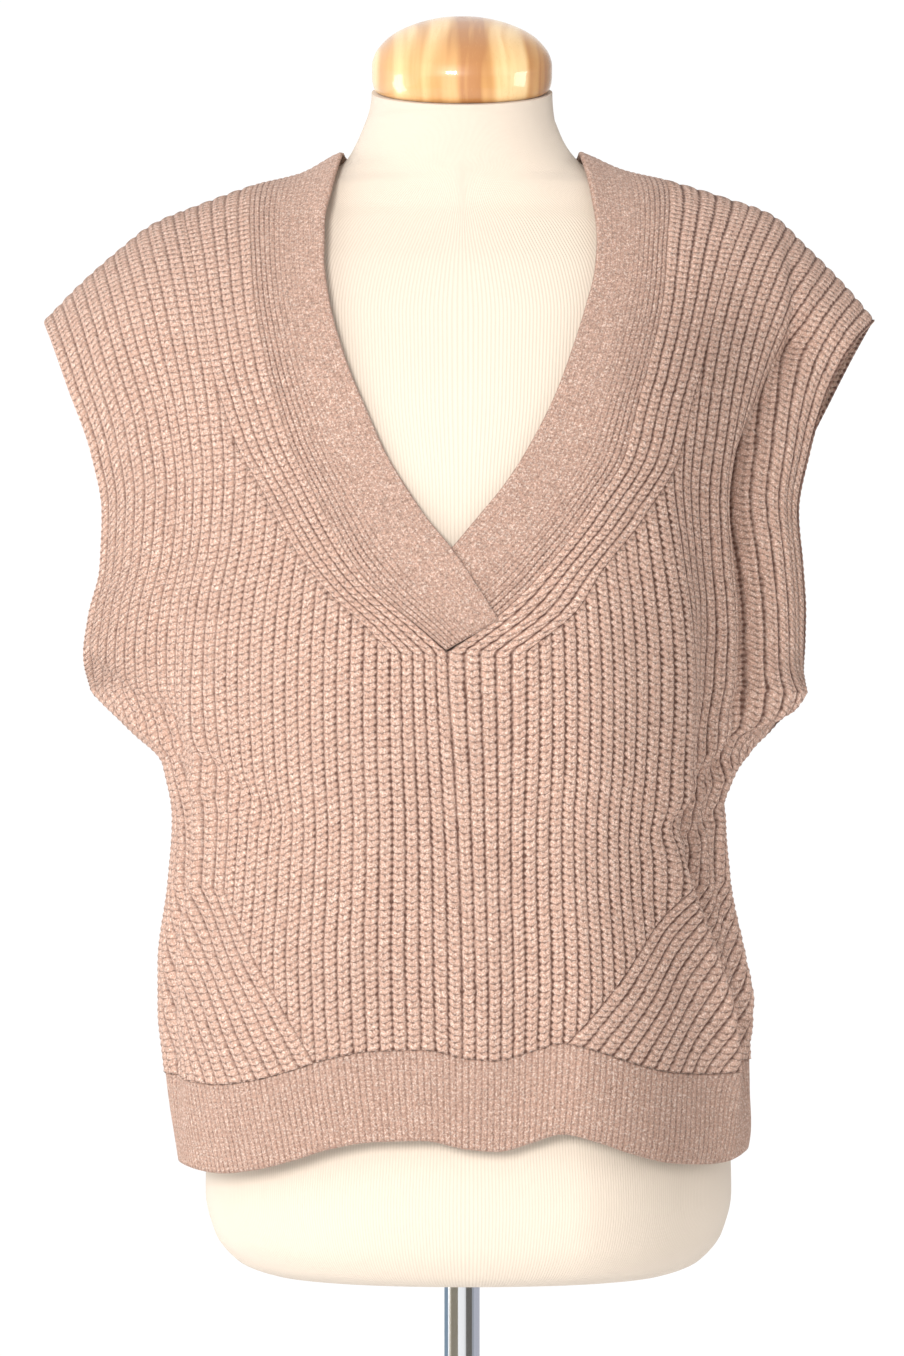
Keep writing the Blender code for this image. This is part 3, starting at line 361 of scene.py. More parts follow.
neck = {
    # seam and free edge of the band on the front: height, x
    "seam": {
        left: ((1.1665, -0.0090), (1.181, -0.0246), (1.203, -0.0495), (1.2280, -0.0690),
               (1.2560, -0.0840), (1.2960, -0.1035), (1.3430, -0.1175), (1.3800, -0.1245),
               (1.4180, -0.1280), (1.4590, -0.1270)),
        right: ((1.1665, -0.0090), (1.1910, 0.0233), (1.2130, 0.0448), (1.2480, 0.0725),
                (1.2860, 0.0960), (1.3130, 0.1030), (1.3430, 0.1115), (1.3760, 0.1195),
                (1.4190, 0.1240), (1.4620, 0.1230)),
    },
    "edge": {
        left: ((1.1860, 0.0210), (1.2290, -0.0065), (1.2470, -0.0210), (1.2680, -0.0350),
               (1.2830, -0.0440), (1.3140, -0.0580), (1.3440, -0.0700), (1.3800, -0.0800),
               (1.4080, -0.0835), (1.4300, -0.0835), (1.4500, -0.0800), (1.4795, -0.0735)),
        right: ((1.2010, -0.0330), (1.2290, -0.0065), (1.2470, 0.0085), (1.2660, 0.0240),
                (1.2850, 0.0365), (1.3220, 0.0555), (1.3520, 0.0665), (1.3740, 0.0735),
                (1.4000, 0.0800), (1.4200, 0.0815), (1.4490, 0.0785), (1.4790, 0.0725)),
    },
    # share of the way round the back, seam x, seam height, edge x, edge height
    "back": (
        (0.00, -0.1270, 1.4590, -0.0735, 1.4795), (0.12, -0.1120, 1.4450, -0.0690, 1.4770),
        (0.30, -0.0680, 1.4300, -0.0440, 1.4690), (0.50, 0.0000, 1.4240, 0.0000, 1.4645),
        (0.70, 0.0670, 1.4300, 0.0440, 1.4690), (0.88, 0.1100, 1.4460, 0.0685, 1.4770),
        (1.00, 0.1230, 1.4620, 0.0725, 1.4790),
    ),
    "wall": 0.0024, "rise": 0.0006, "ribs": 15, "columns": 5, "rounding": 0.0009, "under": 0.0002,
    "roundness": 0.7, "fade": 0.7,   # the ribs get lower towards the free edge
    "lap": 0.0038, "lapFull": 0.060, "lapDone": 0.105,
    "lapSeam": (0.16, 0.0006), "lapEnd": (0.004, 0.0020),    # how far in the lapped edges droop, and to what
    "stitch": 0.0027,
    "tuck": -0.020,                  # the seam edge lies this share of the width under the panels' edge
    "stations": (172, 96),           # mesh rows up each side and round the back
    "startShare": {left: 0.0, right: 0.030},
    "topV": 1.9995,
}


def shareLine(half, places, rows):
    surface = surfaces[front]
    z, x = np.array(places).T
    flat = (z - garment["weltTop"]) / (garment["underarm"] - garment["weltTop"])
    v = np.where(z > garment["underarm"], surface.vOf(x, z), flat)
    share = half * surface.sOf(x, v)
    return smooth(list(zip(v, share)), 1, rows), v[0], v[-1], share[0]


class Sheet:
    # points and faces in the making, with each corner's stitch coordinates
    together = 0.3    # keys nearer than this to each other make a quad

    def __init__(self):
        self.points, self.faces, self.places = [], [], []
        self.count = 0

    def add(self, points):
        self.points.append(points)
        self.count += len(points)
        return np.arange(self.count - len(points), self.count)

    def zip(self, first, second):
        # faces between two lines of (index, key, wale, course), quads where their keys agree
        def corner(line, n):
            return line[0][n], line[2][n], line[3][n]

        i = j = 0
        firstEnd, secondEnd = len(first[0]) - 1, len(second[0]) - 1
        while i < firstEnd or j < secondEnd:
            nextI = first[1][i + 1] if i < firstEnd else math.inf
            nextJ = second[1][j + 1] if j < secondEnd else math.inf
            both = abs(nextI - nextJ) < self.together
            corners = [corner(first, i)]
            if both or nextI < nextJ:
                i += 1
                corners.append(corner(first, i))
            onSecond = [corner(second, j)]
            if both or nextI >= nextJ:
                j += 1
                onSecond.insert(0, corner(second, j))
            corners += onSecond
            kept = [spot for n, spot in enumerate(corners) if spot[0] != corners[n - 1][0]]
            if len(kept) > 2:
                self.faces.append([spot[0] for spot in kept])
                self.places += [spot[1:] for spot in kept]

    def build(self, name, finish, slot):
        mesh = bpy.data.meshes.new(name)
        points = np.concatenate(self.points)
        mesh.from_pydata(points.tolist(), [], self.faces)
        places = mesh.uv_layers.new(name="stitches")
        places.data.foreach_set("uv", np.array(self.places, dtype=np.float32).ravel())
        skin = bmesh.new()
        skin.from_mesh(mesh)
        bmesh.ops.recalc_face_normals(skin, faces=skin.faces)
        skin.to_mesh(mesh)
        skin.free()
        mesh.shade_smooth()
        return addPiece(name, mesh, finish)


def addPiece(name, mesh, finish):
    piece = bpy.data.objects.new(name, mesh)
    bpy.context.scene.collection.objects.link(piece)
    mesh.materials.append(finish)
    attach(piece, "root")
    return piece


def ribLift(wale, rise, roundness, base):
    return base + rise * np.sin(math.pi * (wale - np.floor(wale))) ** roundness


class HalfFront:
    # the rib lines of one half of the front, from the side to the neck
    grid = np.linspace(0, 2, 801)

    def __init__(self, half):
        self.half = half
        seam = neck["seam"][half]
        column = 1 if half == left else 2
        spread = [(z, x + half * float(smooth(panel["vSpan"], column, z))) for z, x in seam]
        corner = [(line[0], half * line[column]) for line in panel["corner"]]
        self.seam, self.tip, _, self.tipShare = shareLine(half, seam, self.grid)
        self.outer, _, _, _ = shareLine(half, spread, self.grid)
        self.corner, _, self.cornerTop, _ = shareLine(half, corner, self.grid)
        below = self.grid < self.tip
        ease = np.clip(self.grid / self.tip, 0, 1) ** 2
        self.seam = np.where(below, self.tipShare * ease, self.seam)
        ribs = round((self.corner[-1] - panel["vRibs"] / garment["ribs"]) * garment["ribs"])
        self.outer[below] = self.corner[-1] - ribs / garment["ribs"]
        self.outer = np.maximum.accumulate(self.outer)

    def at(self, values, v):
        return np.interp(v, self.grid, values)

    def beyondCorner(self, ribs):
        return self.corner + ribs * self.spread() / garment["ribs"]

    def spread(self):
        return panel["cornerSpread"] + (1 - panel["cornerSpread"]) * np.minimum(self.grid / self.cornerTop, 1)

    def reached(self, share):
        # the wale at a share of the half panel, on each row
        away = (share - self.corner) * garment["ribs"] / self.spread()
        return np.where(share > self.corner + 1e-9, away, (self.corner[-1] - share) * garment["ribs"])

    def meetsOuter(self, share):
        # the row where a line of this share ends on the line beside the V
        above = self.grid > self.tip
        if share < self.outer[-1]:
            return float(np.interp(share, self.outer[above], self.grid[above]))
        return None

    def lines(self, step, bottom, top):
        # (share along the grid, wale, where it starts, what it starts on, where it ends, what it ends on)
        ribs = garment["ribs"]
        exits = []
        while True:
            line = self.beyondCorner((len(exits) + 1) * step)
            past = self.grid[line >= 1 - panel["leastRib"] * step / ribs]
            if len(past) and past[0] < panel["leastLine"]:
                break
            exits.append((line, float(past[0]) if len(past) else None))
        found = [(np.ones(len(self.grid)), len(exits) * step + step, bottom, None, top, None)]
        for n in range(len(exits), 0, -1):
            line, leave = exits[n - 1]
            high = None if leave else self.meetsOuter(line[-1])
            found.append((line, n * step, bottom, None, leave or high or top,
                          "side" if leave else "outer" if high else None))
        high = self.meetsOuter(self.corner[-1])
        found.append((self.corner, 0.0, bottom, None, high or top, "outer" if high else None))
        share = self.corner[-1] - step / ribs
        wale = step
        while share > self.outer[0] + 0.5 * step / ribs:
            low = float(np.interp(share, self.corner, self.grid)) if share > self.corner[0] else None
            high = self.meetsOuter(share)
            found.append((np.full(len(self.grid), share), wale, low or bottom,
                          "corner" if low else None, high or top, "outer" if high else None))
            share -= step / ribs
            wale += step
        count = round(panel["vRibs"] / step)
        found.append((self.outer, count * step, bottom, None, top, None))
        for n in range(count - 1, 0, -1):
            part = n / count
            found.append((self.seam * (1 - part) + self.outer * part, n * step, bottom, None, top, None))
        found.append((self.seam, 0.0, bottom, None, top, None))
        return found


def laidLine(sheet, surface, half, grid, share, wale, start, stop, lift, pace, must=None):
    # one line of points along a rib: a point for each half stitch, shifted to the stitch's arms
    inside = grid[(grid > start) & (grid < stop)]
    v = np.unique(np.concatenate([[start], inside, [stop]]))
    s = half * np.interp(v, grid, share)
    course = surface.read(surface.course, s, v)
    frac = wale - math.floor(wale)
    shift = panel["vee"] * abs(2 * frac - 1)
    first, last = course[0] - shift, course[-1] - shift
    keys = np.arange(math.floor(first * pace) + 1, math.ceil(last * pace)) / pace
    keys = keys[(keys > first + Sheet.together / pace) & (keys < last - Sheet.together / pace)]
    keys = np.concatenate([[first], keys, [last]])
    rows = np.interp(keys + shift, course, v)
    rows[0], rows[-1] = start, stop
    if must is not None:
        near = np.argmin(np.abs(rows - must))
        rows[near] = must
    s = half * np.interp(rows, grid, share)
    bumps = np.cos(2 * math.pi * keys) if pace == 2 else np.zeros(len(keys))
    if lift > 0:
        base = panel["wall"] - panel["deeper"]
        low, high, share = panel["flatTop"]
        lift = base + (lift - base) * (1 - share * np.clip((rows - low) / (high - low), 0, 1))
    points = surface.cloth(s, rows, lift + panel["stitchRise"] * bumps)
    ids = sheet.add(points)
    return [ids, keys * pace, np.full(len(ids), wale), keys + shift, rows]


def joined(line, host, stop, start):
    # a line that starts or ends on another line shares that line's points there
    if stop is not None and (host[4] >= stop).any():
        take = host[4] >= stop
        line = [np.concatenate([own[:-1], theirs[take]]) for own, theirs in zip(line, host)]
    if start is not None:
        take = host[4] <= start
        line = [np.concatenate([theirs[take], own[1:]]) for own, theirs in zip(line, host)]
    return line


def spanned(lines, sheet, asFirst=None, asSecond=None):
    # faces between neighbouring lines; a line where ribs meet at an angle is numbered otherwise on one side
    for n, (a, b) in enumerate(zip(lines, lines[1:])):
        sheet.zip((asFirst or {}).get(n, a)[:4], (asSecond or {}).get(n + 1, b)[:4])


def edgeRun(lines, end):
    # the first or last points of a row of lines, as a run of its own
    ids, wales, courses = (np.array([line[k][end] for line in lines]) for k in (0, 2, 3))
    kept = np.concatenate([[True], ids[1:] != ids[:-1]])
    return ids[kept], wales[kept], courses[kept]


def lineRun(line, keep=None):
    keep = slice(None) if keep is None else keep
    return line[0][keep], line[2][keep], line[3][keep]


def turned(run):
    return tuple(part[::-1] for part in run)


def rimLoop(sheet, outerRuns, innerRuns, swells):
    # closes the gap between the outer and inner sheets, all the way round, over a rounded middle line
    points = np.concatenate(sheet.points)
    loops = []
    for runs in (outerRuns, innerRuns):
        ids, wales, courses, keys = [], [], [], []
        for n, run in enumerate(runs):
            length = runAlong(points[run[0]])
            part = length / max(length[-1], 1e-9) + n
            first = 1 if n else 0
            for column, values in zip((ids, wales, courses, keys), (*run, part)):
                column.append(values[first:])
        loops.append([np.concatenate(part) for part in (ids, keys, wales, courses)])
    outer, inner = loops
    across = np.stack([np.interp(outer[1], inner[1], points[inner[0], axis]) for axis in range(3)], 1)
    swell = np.array([swells[min(int(key), len(swells) - 1)] for key in outer[1]])
    corner = np.abs(outer[1] - np.round(outer[1])) < 1e-6
    swell[corner] *= 0.5
    middle = sheet.add(((points[outer[0]] + across) / 2 + swell)[:-1])
    middle = np.append(middle, middle[0])
    apart = 10.0    # between keys, so that only equal ones make a quad
    spaced = np.arange(len(outer[0])) * apart
    sheet.zip([outer[0], spaced, *outer[2:]], [middle, spaced, *outer[2:]])
    scale = apart * len(outer[0])
    sheet.zip([middle, outer[1] * scale, *outer[2:]], [inner[0], inner[1] * scale, *inner[2:]])


def frontLines(sheet, surface, half, step, bottom, top, isOuter, seamHost=None):
    shape = halves[half]
    base = panel["wall"] - panel["deeper"]
    made, hosts, joins, spots = [], {}, [], {}
    for n, (share, wale, start, startsOn, stop, stopsOn) in enumerate(shape.lines(step, bottom, top)):
        lift = ribLift(wale, panel["rise"], panel["roundness"], base) if isOuter else 0.0
        isSeam = share is shape.seam
        line = laidLine(sheet, surface, half, shape.grid, share, wale, start, stop, lift,
                        2 if isOuter else panel["innerPace"], shape.tip if isSeam else None)
        made.append(line)
        joins.append((start if startsOn else None, startsOn,
                      stop if stopsOn and stop < top else None, stopsOn))
        for name, host in (("side", None), ("corner", shape.corner), ("outer", shape.outer)):
            if share is host or (n == 0 and host is None):
                # the wale that the ribs ending on this line have there
                met = np.interp(line[4], shape.grid, shape.reached(share))
                hosts[name], spots[name] = [*line[:2], met, *line[3:]], n
    for n, (start, startsOn, stop, stopsOn) in enumerate(joins):
        if start is not None:
            made[n] = joined(made[n], hosts[startsOn], None, start)
        if stop is not None:
            made[n] = joined(made[n], hosts[stopsOn], stop, None)
            if n == spots["corner"]:
                hosts["corner"] = joined(hosts["corner"], hosts[stopsOn], stop, None)
    if seamHost is not None:
        # below the V both halves share one line of points
        own = made[-1][4] > shape.tip
        hosted = seamHost[4] <= shape.tip
        made[-1] = [np.concatenate([theirs[hosted], mine[own]]) for theirs, mine in zip(seamHost, made[-1])]
    asFirst = {spots[name]: hosts[name] for name in ("side", "corner")}
    spanned(made, sheet, asFirst, {spots["outer"]: hosts["outer"]})
    return made


halves = {half: HalfFront(half) for half in (left, right)}
topRow = {side: 2 - panel["topGap"] ** (power / 2) * 2 / math.pi
          for side, power in garment["topRound"].items()}


def makeFront():
    surface, sheet = surfaces[front], Sheet()
    loops = []
    for kind, step in (("outer", 1 / panel["columns"]), ("inner", panel["innerStep"])):
        made, host = {}, None
        for half in (left, right):
            made[half] = frontLines(sheet, surface, half, step, panel["foot"], topRow[front], kind == "outer",
                                    host)
            host = made[left][-1]
        seams = [lineRun(made[half][-1], made[half][-1][4] >= halves[half].tip) for half in (left, right)]
        loops.append([
            lineRun(made[left][0]), edgeRun(made[left], -1), turned(seams[0]), seams[1],
            turned(edgeRun(made[right], -1)), turned(lineRun(made[right][0])),
            edgeRun(made[right], 0), turned(edgeRun(made[left], 0)),
        ])
    out = np.array([panel["edge"], 0, 0])
    rimLoop(sheet, *loops, [-out, 0 * out, 0 * out, 0 * out, 0 * out, out, 0 * out, 0 * out])
    return sheet


def boundary(lines):
    # up the first line, across the ends, down the last line and back
    return [lineRun(lines[0]), edgeRun(lines, -1), turned(lineRun(lines[-1])), turned(edgeRun(lines, 0))]


def neckline():
    surface = surfaces[back]
    rows = np.array(neck["back"])
    v = surface.vOf(rows[:, 1], rows[:, 2])
    return list(zip(surface.sOf(rows[:, 1], v), v))


def makeBack():
    surface, sheet = surfaces[back], Sheet()
    line = neckline()
    grid = HalfFront.grid
    loops = []
    for kind, step in (("outer", 1 / panel["columns"]), ("inner", panel["innerStep"])):
        base = panel["wall"] - panel["deeper"]
        lines = []
        count = round(garment["ribs"] / step)
        for n in range(2 * count + 1):
            s = n / count - 1
            wale = n * step
            lift = ribLift(wale, panel["rise"], panel["roundness"], base) if kind == "outer" else 0.0
            top = topRow[back]
            if line[0][0] < s < line[-1][0]:
                top = min(top, float(smooth(line, 1, s)))
            share = np.full(len(grid), s)
            lines.append(laidLine(sheet, surface, 1, grid, share, wale, panel["foot"], top, lift,
                                  2 if kind == "outer" else panel["innerPace"]))
        spanned(lines, sheet)
        loops.append(boundary(lines))
    out = np.array([panel["edge"], 0, 0])
    rimLoop(sheet, *loops, [-out, 0 * out, out, 0 * out])
    return sheet


welt = {
    "wall": 0.0019, "rise": 0.0008, "roundness": 0.8, "columns": 5, "finePerWide": 2,
    "rows": 26, "slant": 0.055, "edge": 0.0008, "stitch": 0.0030,
    "innerStep": 2.0, "innerRows": 8,
}


def makeWelt(side):
    surface, sheet = surfaces[side], Sheet()
    ribs = garment["ribs"] * welt["finePerWide"]
    loops = []
    for kind, step, rows in (("outer", 1 / welt["columns"], welt["rows"]),
                             ("inner", welt["innerStep"], welt["innerRows"])):
        lines = []
        count = round(2 * ribs / step)
        v = np.linspace(weltV, -panel["foot"], rows + 1)
        down = v / weltV
        for n in range(count + 1):
            wale = n * step
            s = n / count * 2 - 1
            slanted = s * (1 - welt["slant"] * down * (1 - s * s))
            lift = ribLift(wale, welt["rise"], welt["roundness"], welt["wall"]) if kind == "outer" else 0.0
            points = surface.cloth(slanted, v, np.full(rows + 1, lift))
            keys = np.linspace(0, welt["rows"], rows + 1)
            lines.append([sheet.add(points), keys, np.full(rows + 1, wale),
                          v * (garment["underarm"] - garment["weltTop"]) / welt["stitch"], v])
        spanned(lines, sheet)
        loops.append(boundary(lines))
    still, down = np.zeros(3), np.array([0, 0, -welt["edge"]])
    rimLoop(sheet, *loops, [still, still, still, down])
    return sheet


def frontEdges(half, count):
    # places along the seam and the free edge, as x and z, from the V up to the shoulder
    surface, shape = surfaces[front], halves[half]
    rows = np.linspace(shape.tip, 2, 400)
    spots = surface.read(surface.points, half * shape.at(shape.seam, rows), rows)
    run = runAlong(spots)
    at = np.linspace(neck["startShare"][half], 1, count)
    seam = [np.interp(at, run / run[-1], spots[:, axis]) for axis in (0, 2)]
    spots = np.array(neck["edge"][half])
    run = runAlong(spots)
    places = [(a, *b) for a, b in zip(run / run[-1], spots)]
    at = np.linspace(0, 1, count)
    return seam, (smooth(places, 2, at), smooth(places, 1, at))


def bandPlaces():
    # side, seam x, seam z, edge x, edge z at each station, from the left end round to the right one
    rows = []
    for half in (left, right):
        (sx, sz), (ex, ez) = frontEdges(half, neck["stations"][0])
        stations = [(front, *row) for row in zip(sx, sz, ex, ez)]
        rows += stations if half == left else stations[::-1]
        if half == left:
            at = np.linspace(0, 1, neck["stations"][1] + 2)[1:-1]
            columns = [smooth(neck["back"], column, at) for column in (1, 2, 3, 4)]
            rows += [(back, *row) for row in zip(*columns)]
    return rows


def makeBand():
    sheet = Sheet()
    rows = bandPlaces()
    across = neck["ribs"] * neck["columns"]
    parts = np.linspace(neck["tuck"], 1, across + 1)
    outer, inner = [], []
    sides = np.array([row[0] for row in rows])
    table = np.array([row[1:] for row in rows])
    run = runAlong((table[:, :2] + table[:, 2:]) / 2)
    lap = neck["lap"] * (1 - gradual((run - neck["lapFull"]) / (neck["lapDone"] - neck["lapFull"])))
    endDroop = 1 - np.clip(run / neck["lapEnd"][0], 0, 1)
    for n, part in enumerate(parts):
        x = table[:, 0] + (table[:, 2] - table[:, 0]) * part
        z = np.minimum(table[:, 1] + (table[:, 3] - table[:, 1]) * part, shoulderHeight(x))
        wale = n / neck["columns"]
        edge = min(wale, neck["ribs"] - wale)
        drop = neck["rounding"] * max(0.0, 1 - edge / 0.5) ** 2
        seamDroop = max(0.0, 1 - part / neck["lapSeam"][0]) ** 2
        low = np.minimum(lap, neck["lapSeam"][1]) * seamDroop + lap * (1 - seamDroop)
        over = low + (np.minimum(low, neck["lapEnd"][1]) - low) * endDroop ** 2
        rib = math.sin(math.pi * (wale % 1)) ** neck["roundness"]
        lift = over + neck["wall"] + neck["rise"] * (1 - neck["fade"] * part) * rib - drop
        points = np.zeros((len(rows), 3))
        under = np.zeros((len(rows), 3))
        for side in (front, back):
            pick = sides == side
            surface = surfaces[side]
            v = surface.vOf(x[pick], z[pick])
            s = surface.sOf(x[pick], v)
            v = np.minimum(v, neck["topV"])
            points[pick] = surface.cloth(s, v, lift[pick])
            under[pick] = surface.cloth(s, v, over[pick] + neck["under"])
        keys = np.arange(len(rows)) * 1.0
        course = run / neck["stitch"]
        outer.append([sheet.add(points), keys, np.full(len(rows), wale), course, run])
        if n % neck["columns"] == 0:
            inner.append([sheet.add(under), keys, np.full(len(rows), wale), course, run])
    spanned(outer, sheet)
    spanned(inner, sheet)
    still = np.zeros(3)
    rimLoop(sheet, boundary(outer), boundary(inner), [still, still, still, still])
    return sheet


form = {
    # height, centre x, half width, depth front, depth back, squareness
    "rings": (
        (0.7800, 0.004, 0.098, 0.060, 0.058, 2.2), (0.7825, 0.004, 0.126, 0.082, 0.076, 2.2),
        (0.7910, 0.004, 0.1455, 0.098, 0.091, 2.2), (0.8080, 0.004, 0.1585, 0.109, 0.099, 2.2),
        (0.8320, 0.004, 0.1640, 0.1140, 0.104, 2.2), (0.8700, 0.004, 0.1630, 0.1150, 0.105, 2.15),
        (0.9200, 0.003, 0.1560, 0.1120, 0.101, 2.1), (0.9800, 0.002, 0.1400, 0.1060, 0.093, 2.1),
        (1.0400, 0.000, 0.1260, 0.1010, 0.085, 2.1), (1.1000, 0.000, 0.1330, 0.1090, 0.090, 2.2),
        (1.1600, 0.000, 0.1450, 0.1300, 0.099, 2.2), (1.2100, 0.000, 0.1530, 0.1410, 0.106, 2.2),
        (1.2600, 0.000, 0.1610, 0.1360, 0.110, 2.2), (1.3200, 0.000, 0.1750, 0.1200, 0.110, 2.3),
        (1.3700, 0.000, 0.1830, 0.0980, 0.102, 2.3), (1.4050, 0.000, 0.1870, 0.0800, 0.090, 2.1),
        (1.4200, 0.000, 0.1870, 0.0700, 0.080, 1.9), (1.4322, 0.000, 0.1830, 0.0620, 0.070, 1.75),
        (1.4443, 0.000, 0.1630, 0.0560, 0.062, 1.6), (1.4571, 0.000, 0.1280, 0.0540, 0.057, 1.55),
        (1.4638, 0.000, 0.0980, 0.0540, 0.056, 1.6), (1.4730, 0.000, 0.0745, 0.0545, 0.056, 1.9),
        (1.4860, -0.001, 0.0650, 0.0555, 0.057, 2.0), (1.5000, -0.001, 0.0590, 0.0560, 0.0565, 2.0),
    ),
    "sides": 220, "rows": 190, "neckRows": 13, "sharp": math.radians(30),
    "wale": 0.0016, "girth": 0.9,
    "neckTop": 1.5180, "neckRadius": 0.0565, "tilt": math.radians(15),
}


def ringPoints(x0, half, deepFront, deepBack, square, sides):
    turn = np.linspace(0, 2 * math.pi, sides, endpoint=False)
    across, deep = np.cos(turn), np.sin(turn)
    x = np.sign(across) * np.abs(across) ** (2 / square) * half + x0
    y = np.sign(deep) * np.abs(deep) ** (2 / square) * np.where(deep > 0, deepBack, deepFront)
    return x, y


def lathe(name, rings, finish, wales=1.0, wale=1.0):
    # a closed skin round rows of rings of points, with its ends filled and so many wales round it
    sides = len(rings[0])
    points = np.concatenate(rings)
    faces, places = [], []
    heights = runAlong(np.array([ring[0] for ring in rings])) / wale
    for n in range(len(rings) - 1):
        for k in range(sides):
            a, b = n * sides + k, n * sides + (k + 1) % sides
            faces.append((a, b, b + sides, a + sides))
            places += [(across * wales / sides, heights[row])
                       for across, row in ((k, n), (k + 1, n), (k + 1, n + 1), (k, n + 1))]
    for first, order in ((0, -1), (len(points) - sides, 1)):
        faces.append(tuple(range(first, first + sides))[::order])
        places += [(0.0, 0.0)] * sides
    mesh = bpy.data.meshes.new(name)
    mesh.from_pydata(points.tolist(), [], faces)
    mesh.uv_layers.new(name="stitches").data.foreach_set("uv", np.array(places, dtype=np.float32).ravel())
    mesh.shade_smooth()
    mesh.set_sharp_from_angle(angle=form["sharp"])
    return addPiece(name, mesh, finish)


def makeTorso(finish):
    table = form["rings"]
    profile = np.array([(line[0], line[2]) for line in table])
    run = runAlong(profile)
    at = np.interp(np.linspace(0, 1, form["rows"]), run / run[-1], profile[:, 0])
    rings = []
    for height in at:
        sizes = (float(smooth(table, column, height)) for column in range(1, 6))
        x, y = ringPoints(*sizes, form["sides"])
        rings.append(np.stack([x, y, np.full(form["sides"], height)], 1))
    x, y = ringPoints(0, form["neckRadius"], form["neckRadius"], form["neckRadius"], 2, form["sides"])
    top = np.stack([x, y, form["neckTop"] + y * math.tan(form["tilt"])], 1)
    last = rings[-1]
    for part in np.linspace(0, 1, form["neckRows"] + 1)[1:]:
        ease = part * (2 - part)
        rings.append(np.concatenate([last[:, :2] + (top[:, :2] - last[:, :2]) * ease,
                                     last[:, 2:] + (top[:, 2:] - last[:, 2:]) * part], 1))
    return lathe("formTorso", rings, finish, form["girth"] / form["wale"], form["wale"])


cap = {
    "profile": ((0.0000, 0.0525), (0.0012, 0.0542), (0.0045, 0.0556), (0.0100, 0.0563), (0.0165, 0.0563),
                (0.0230, 0.0546), (0.0290, 0.0505), (0.0345, 0.0445), (0.0392, 0.0360), (0.0432, 0.0250),
                (0.0458, 0.0125), (0.0468, 0.0006)),
    "sides": 160, "rows": 60, "gap": 0.0003,
}


def makeCap(finish):
    profile = np.array(cap["profile"])
    run = runAlong(profile)
    table = [(along, *spot) for along, spot in zip(run, profile)]
    at = np.linspace(0, run[-1], cap["rows"])
    tilt = form["tilt"]
    rings = []
    for h, r in zip(smooth(table, 1, at), smooth(table, 2, at)):
        x, y = ringPoints(0, r, r, r, 2, cap["sides"])
        rings.append(np.stack([x, y * math.cos(tilt) - h * math.sin(tilt),
                               form["neckTop"] + cap["gap"] + h * math.cos(tilt) + y * math.sin(tilt)], 1))
    return lathe("neckCap", rings, finish)


stand = {
    "poleRadius": 0.0111, "poleFoot": 0.0103, "poleTop": 0.7797, "baseRadius": 0.150, "baseThick": 0.010,
    "rim": 0.002, "rimRings": 8, "foot": 0.0002, "bevel": 0.0004, "sides": 128,
}


def turnedPiece(name, profile, finish):
    rings = []
    for radius, height in profile:
        x, y = ringPoints(0, radius, radius, radius, 2, stand["sides"])
        rings.append(np.stack([x, y, np.full(stand["sides"], height)], 1))
    return lathe(name, rings, finish)


def makeStand(finish):
    radius, bevel = stand["poleRadius"], stand["bevel"]
    pole = [(radius - bevel, stand["poleFoot"]), (radius, stand["poleFoot"] + bevel),
            (radius, stand["poleTop"] - bevel), (radius - bevel, stand["poleTop"])]
    wide, thick, rim = stand["baseRadius"], stand["baseThick"], stand["rim"]
    plate = [(wide - rim, 0.0), (wide - rim / 2, stand["foot"]), (wide, rim)]
    plate += [(wide - rim + rim * math.cos(a), thick - rim + rim * math.sin(a))
              for a in np.linspace(0, math.pi / 2, stand["rimRings"])]
    return (turnedPiece("chromePole", pole, finish),
            turnedPiece("basePlate", plate, finish))


class Socket:
    def __init__(self, finish, out):
        self.finish, self.out = finish, out

    def maths(self, operation, *values):
        return self.finish.node("ShaderNodeMath", {"operation": operation}, dict(enumerate(values)))

    def __add__(self, other):
        return self.maths("ADD", self, other)

    def __radd__(self, other):
        return self.maths("ADD", other, self)

    def __sub__(self, other):
        return self.maths("SUBTRACT", self, other)

    def __rsub__(self, other):
        return self.maths("SUBTRACT", other, self)

    def __mul__(self, other):
        return self.maths("MULTIPLY", self, other)

    def __rmul__(self, other):
        return self.maths("MULTIPLY", other, self)

    def __truediv__(self, other):
        return self.maths("DIVIDE", self, other)

    def __pow__(self, other):
        return self.maths("POWER", self, other)

    def __abs__(self):
        return self.maths("ABSOLUTE", self)

    def fraction(self):
        return self.maths("FRACT", self)

    def sine(self):
        return self.maths("SINE", self)

    def clamped(self):
        return self.finish.node("ShaderNodeClamp", {}, {"Value": self})


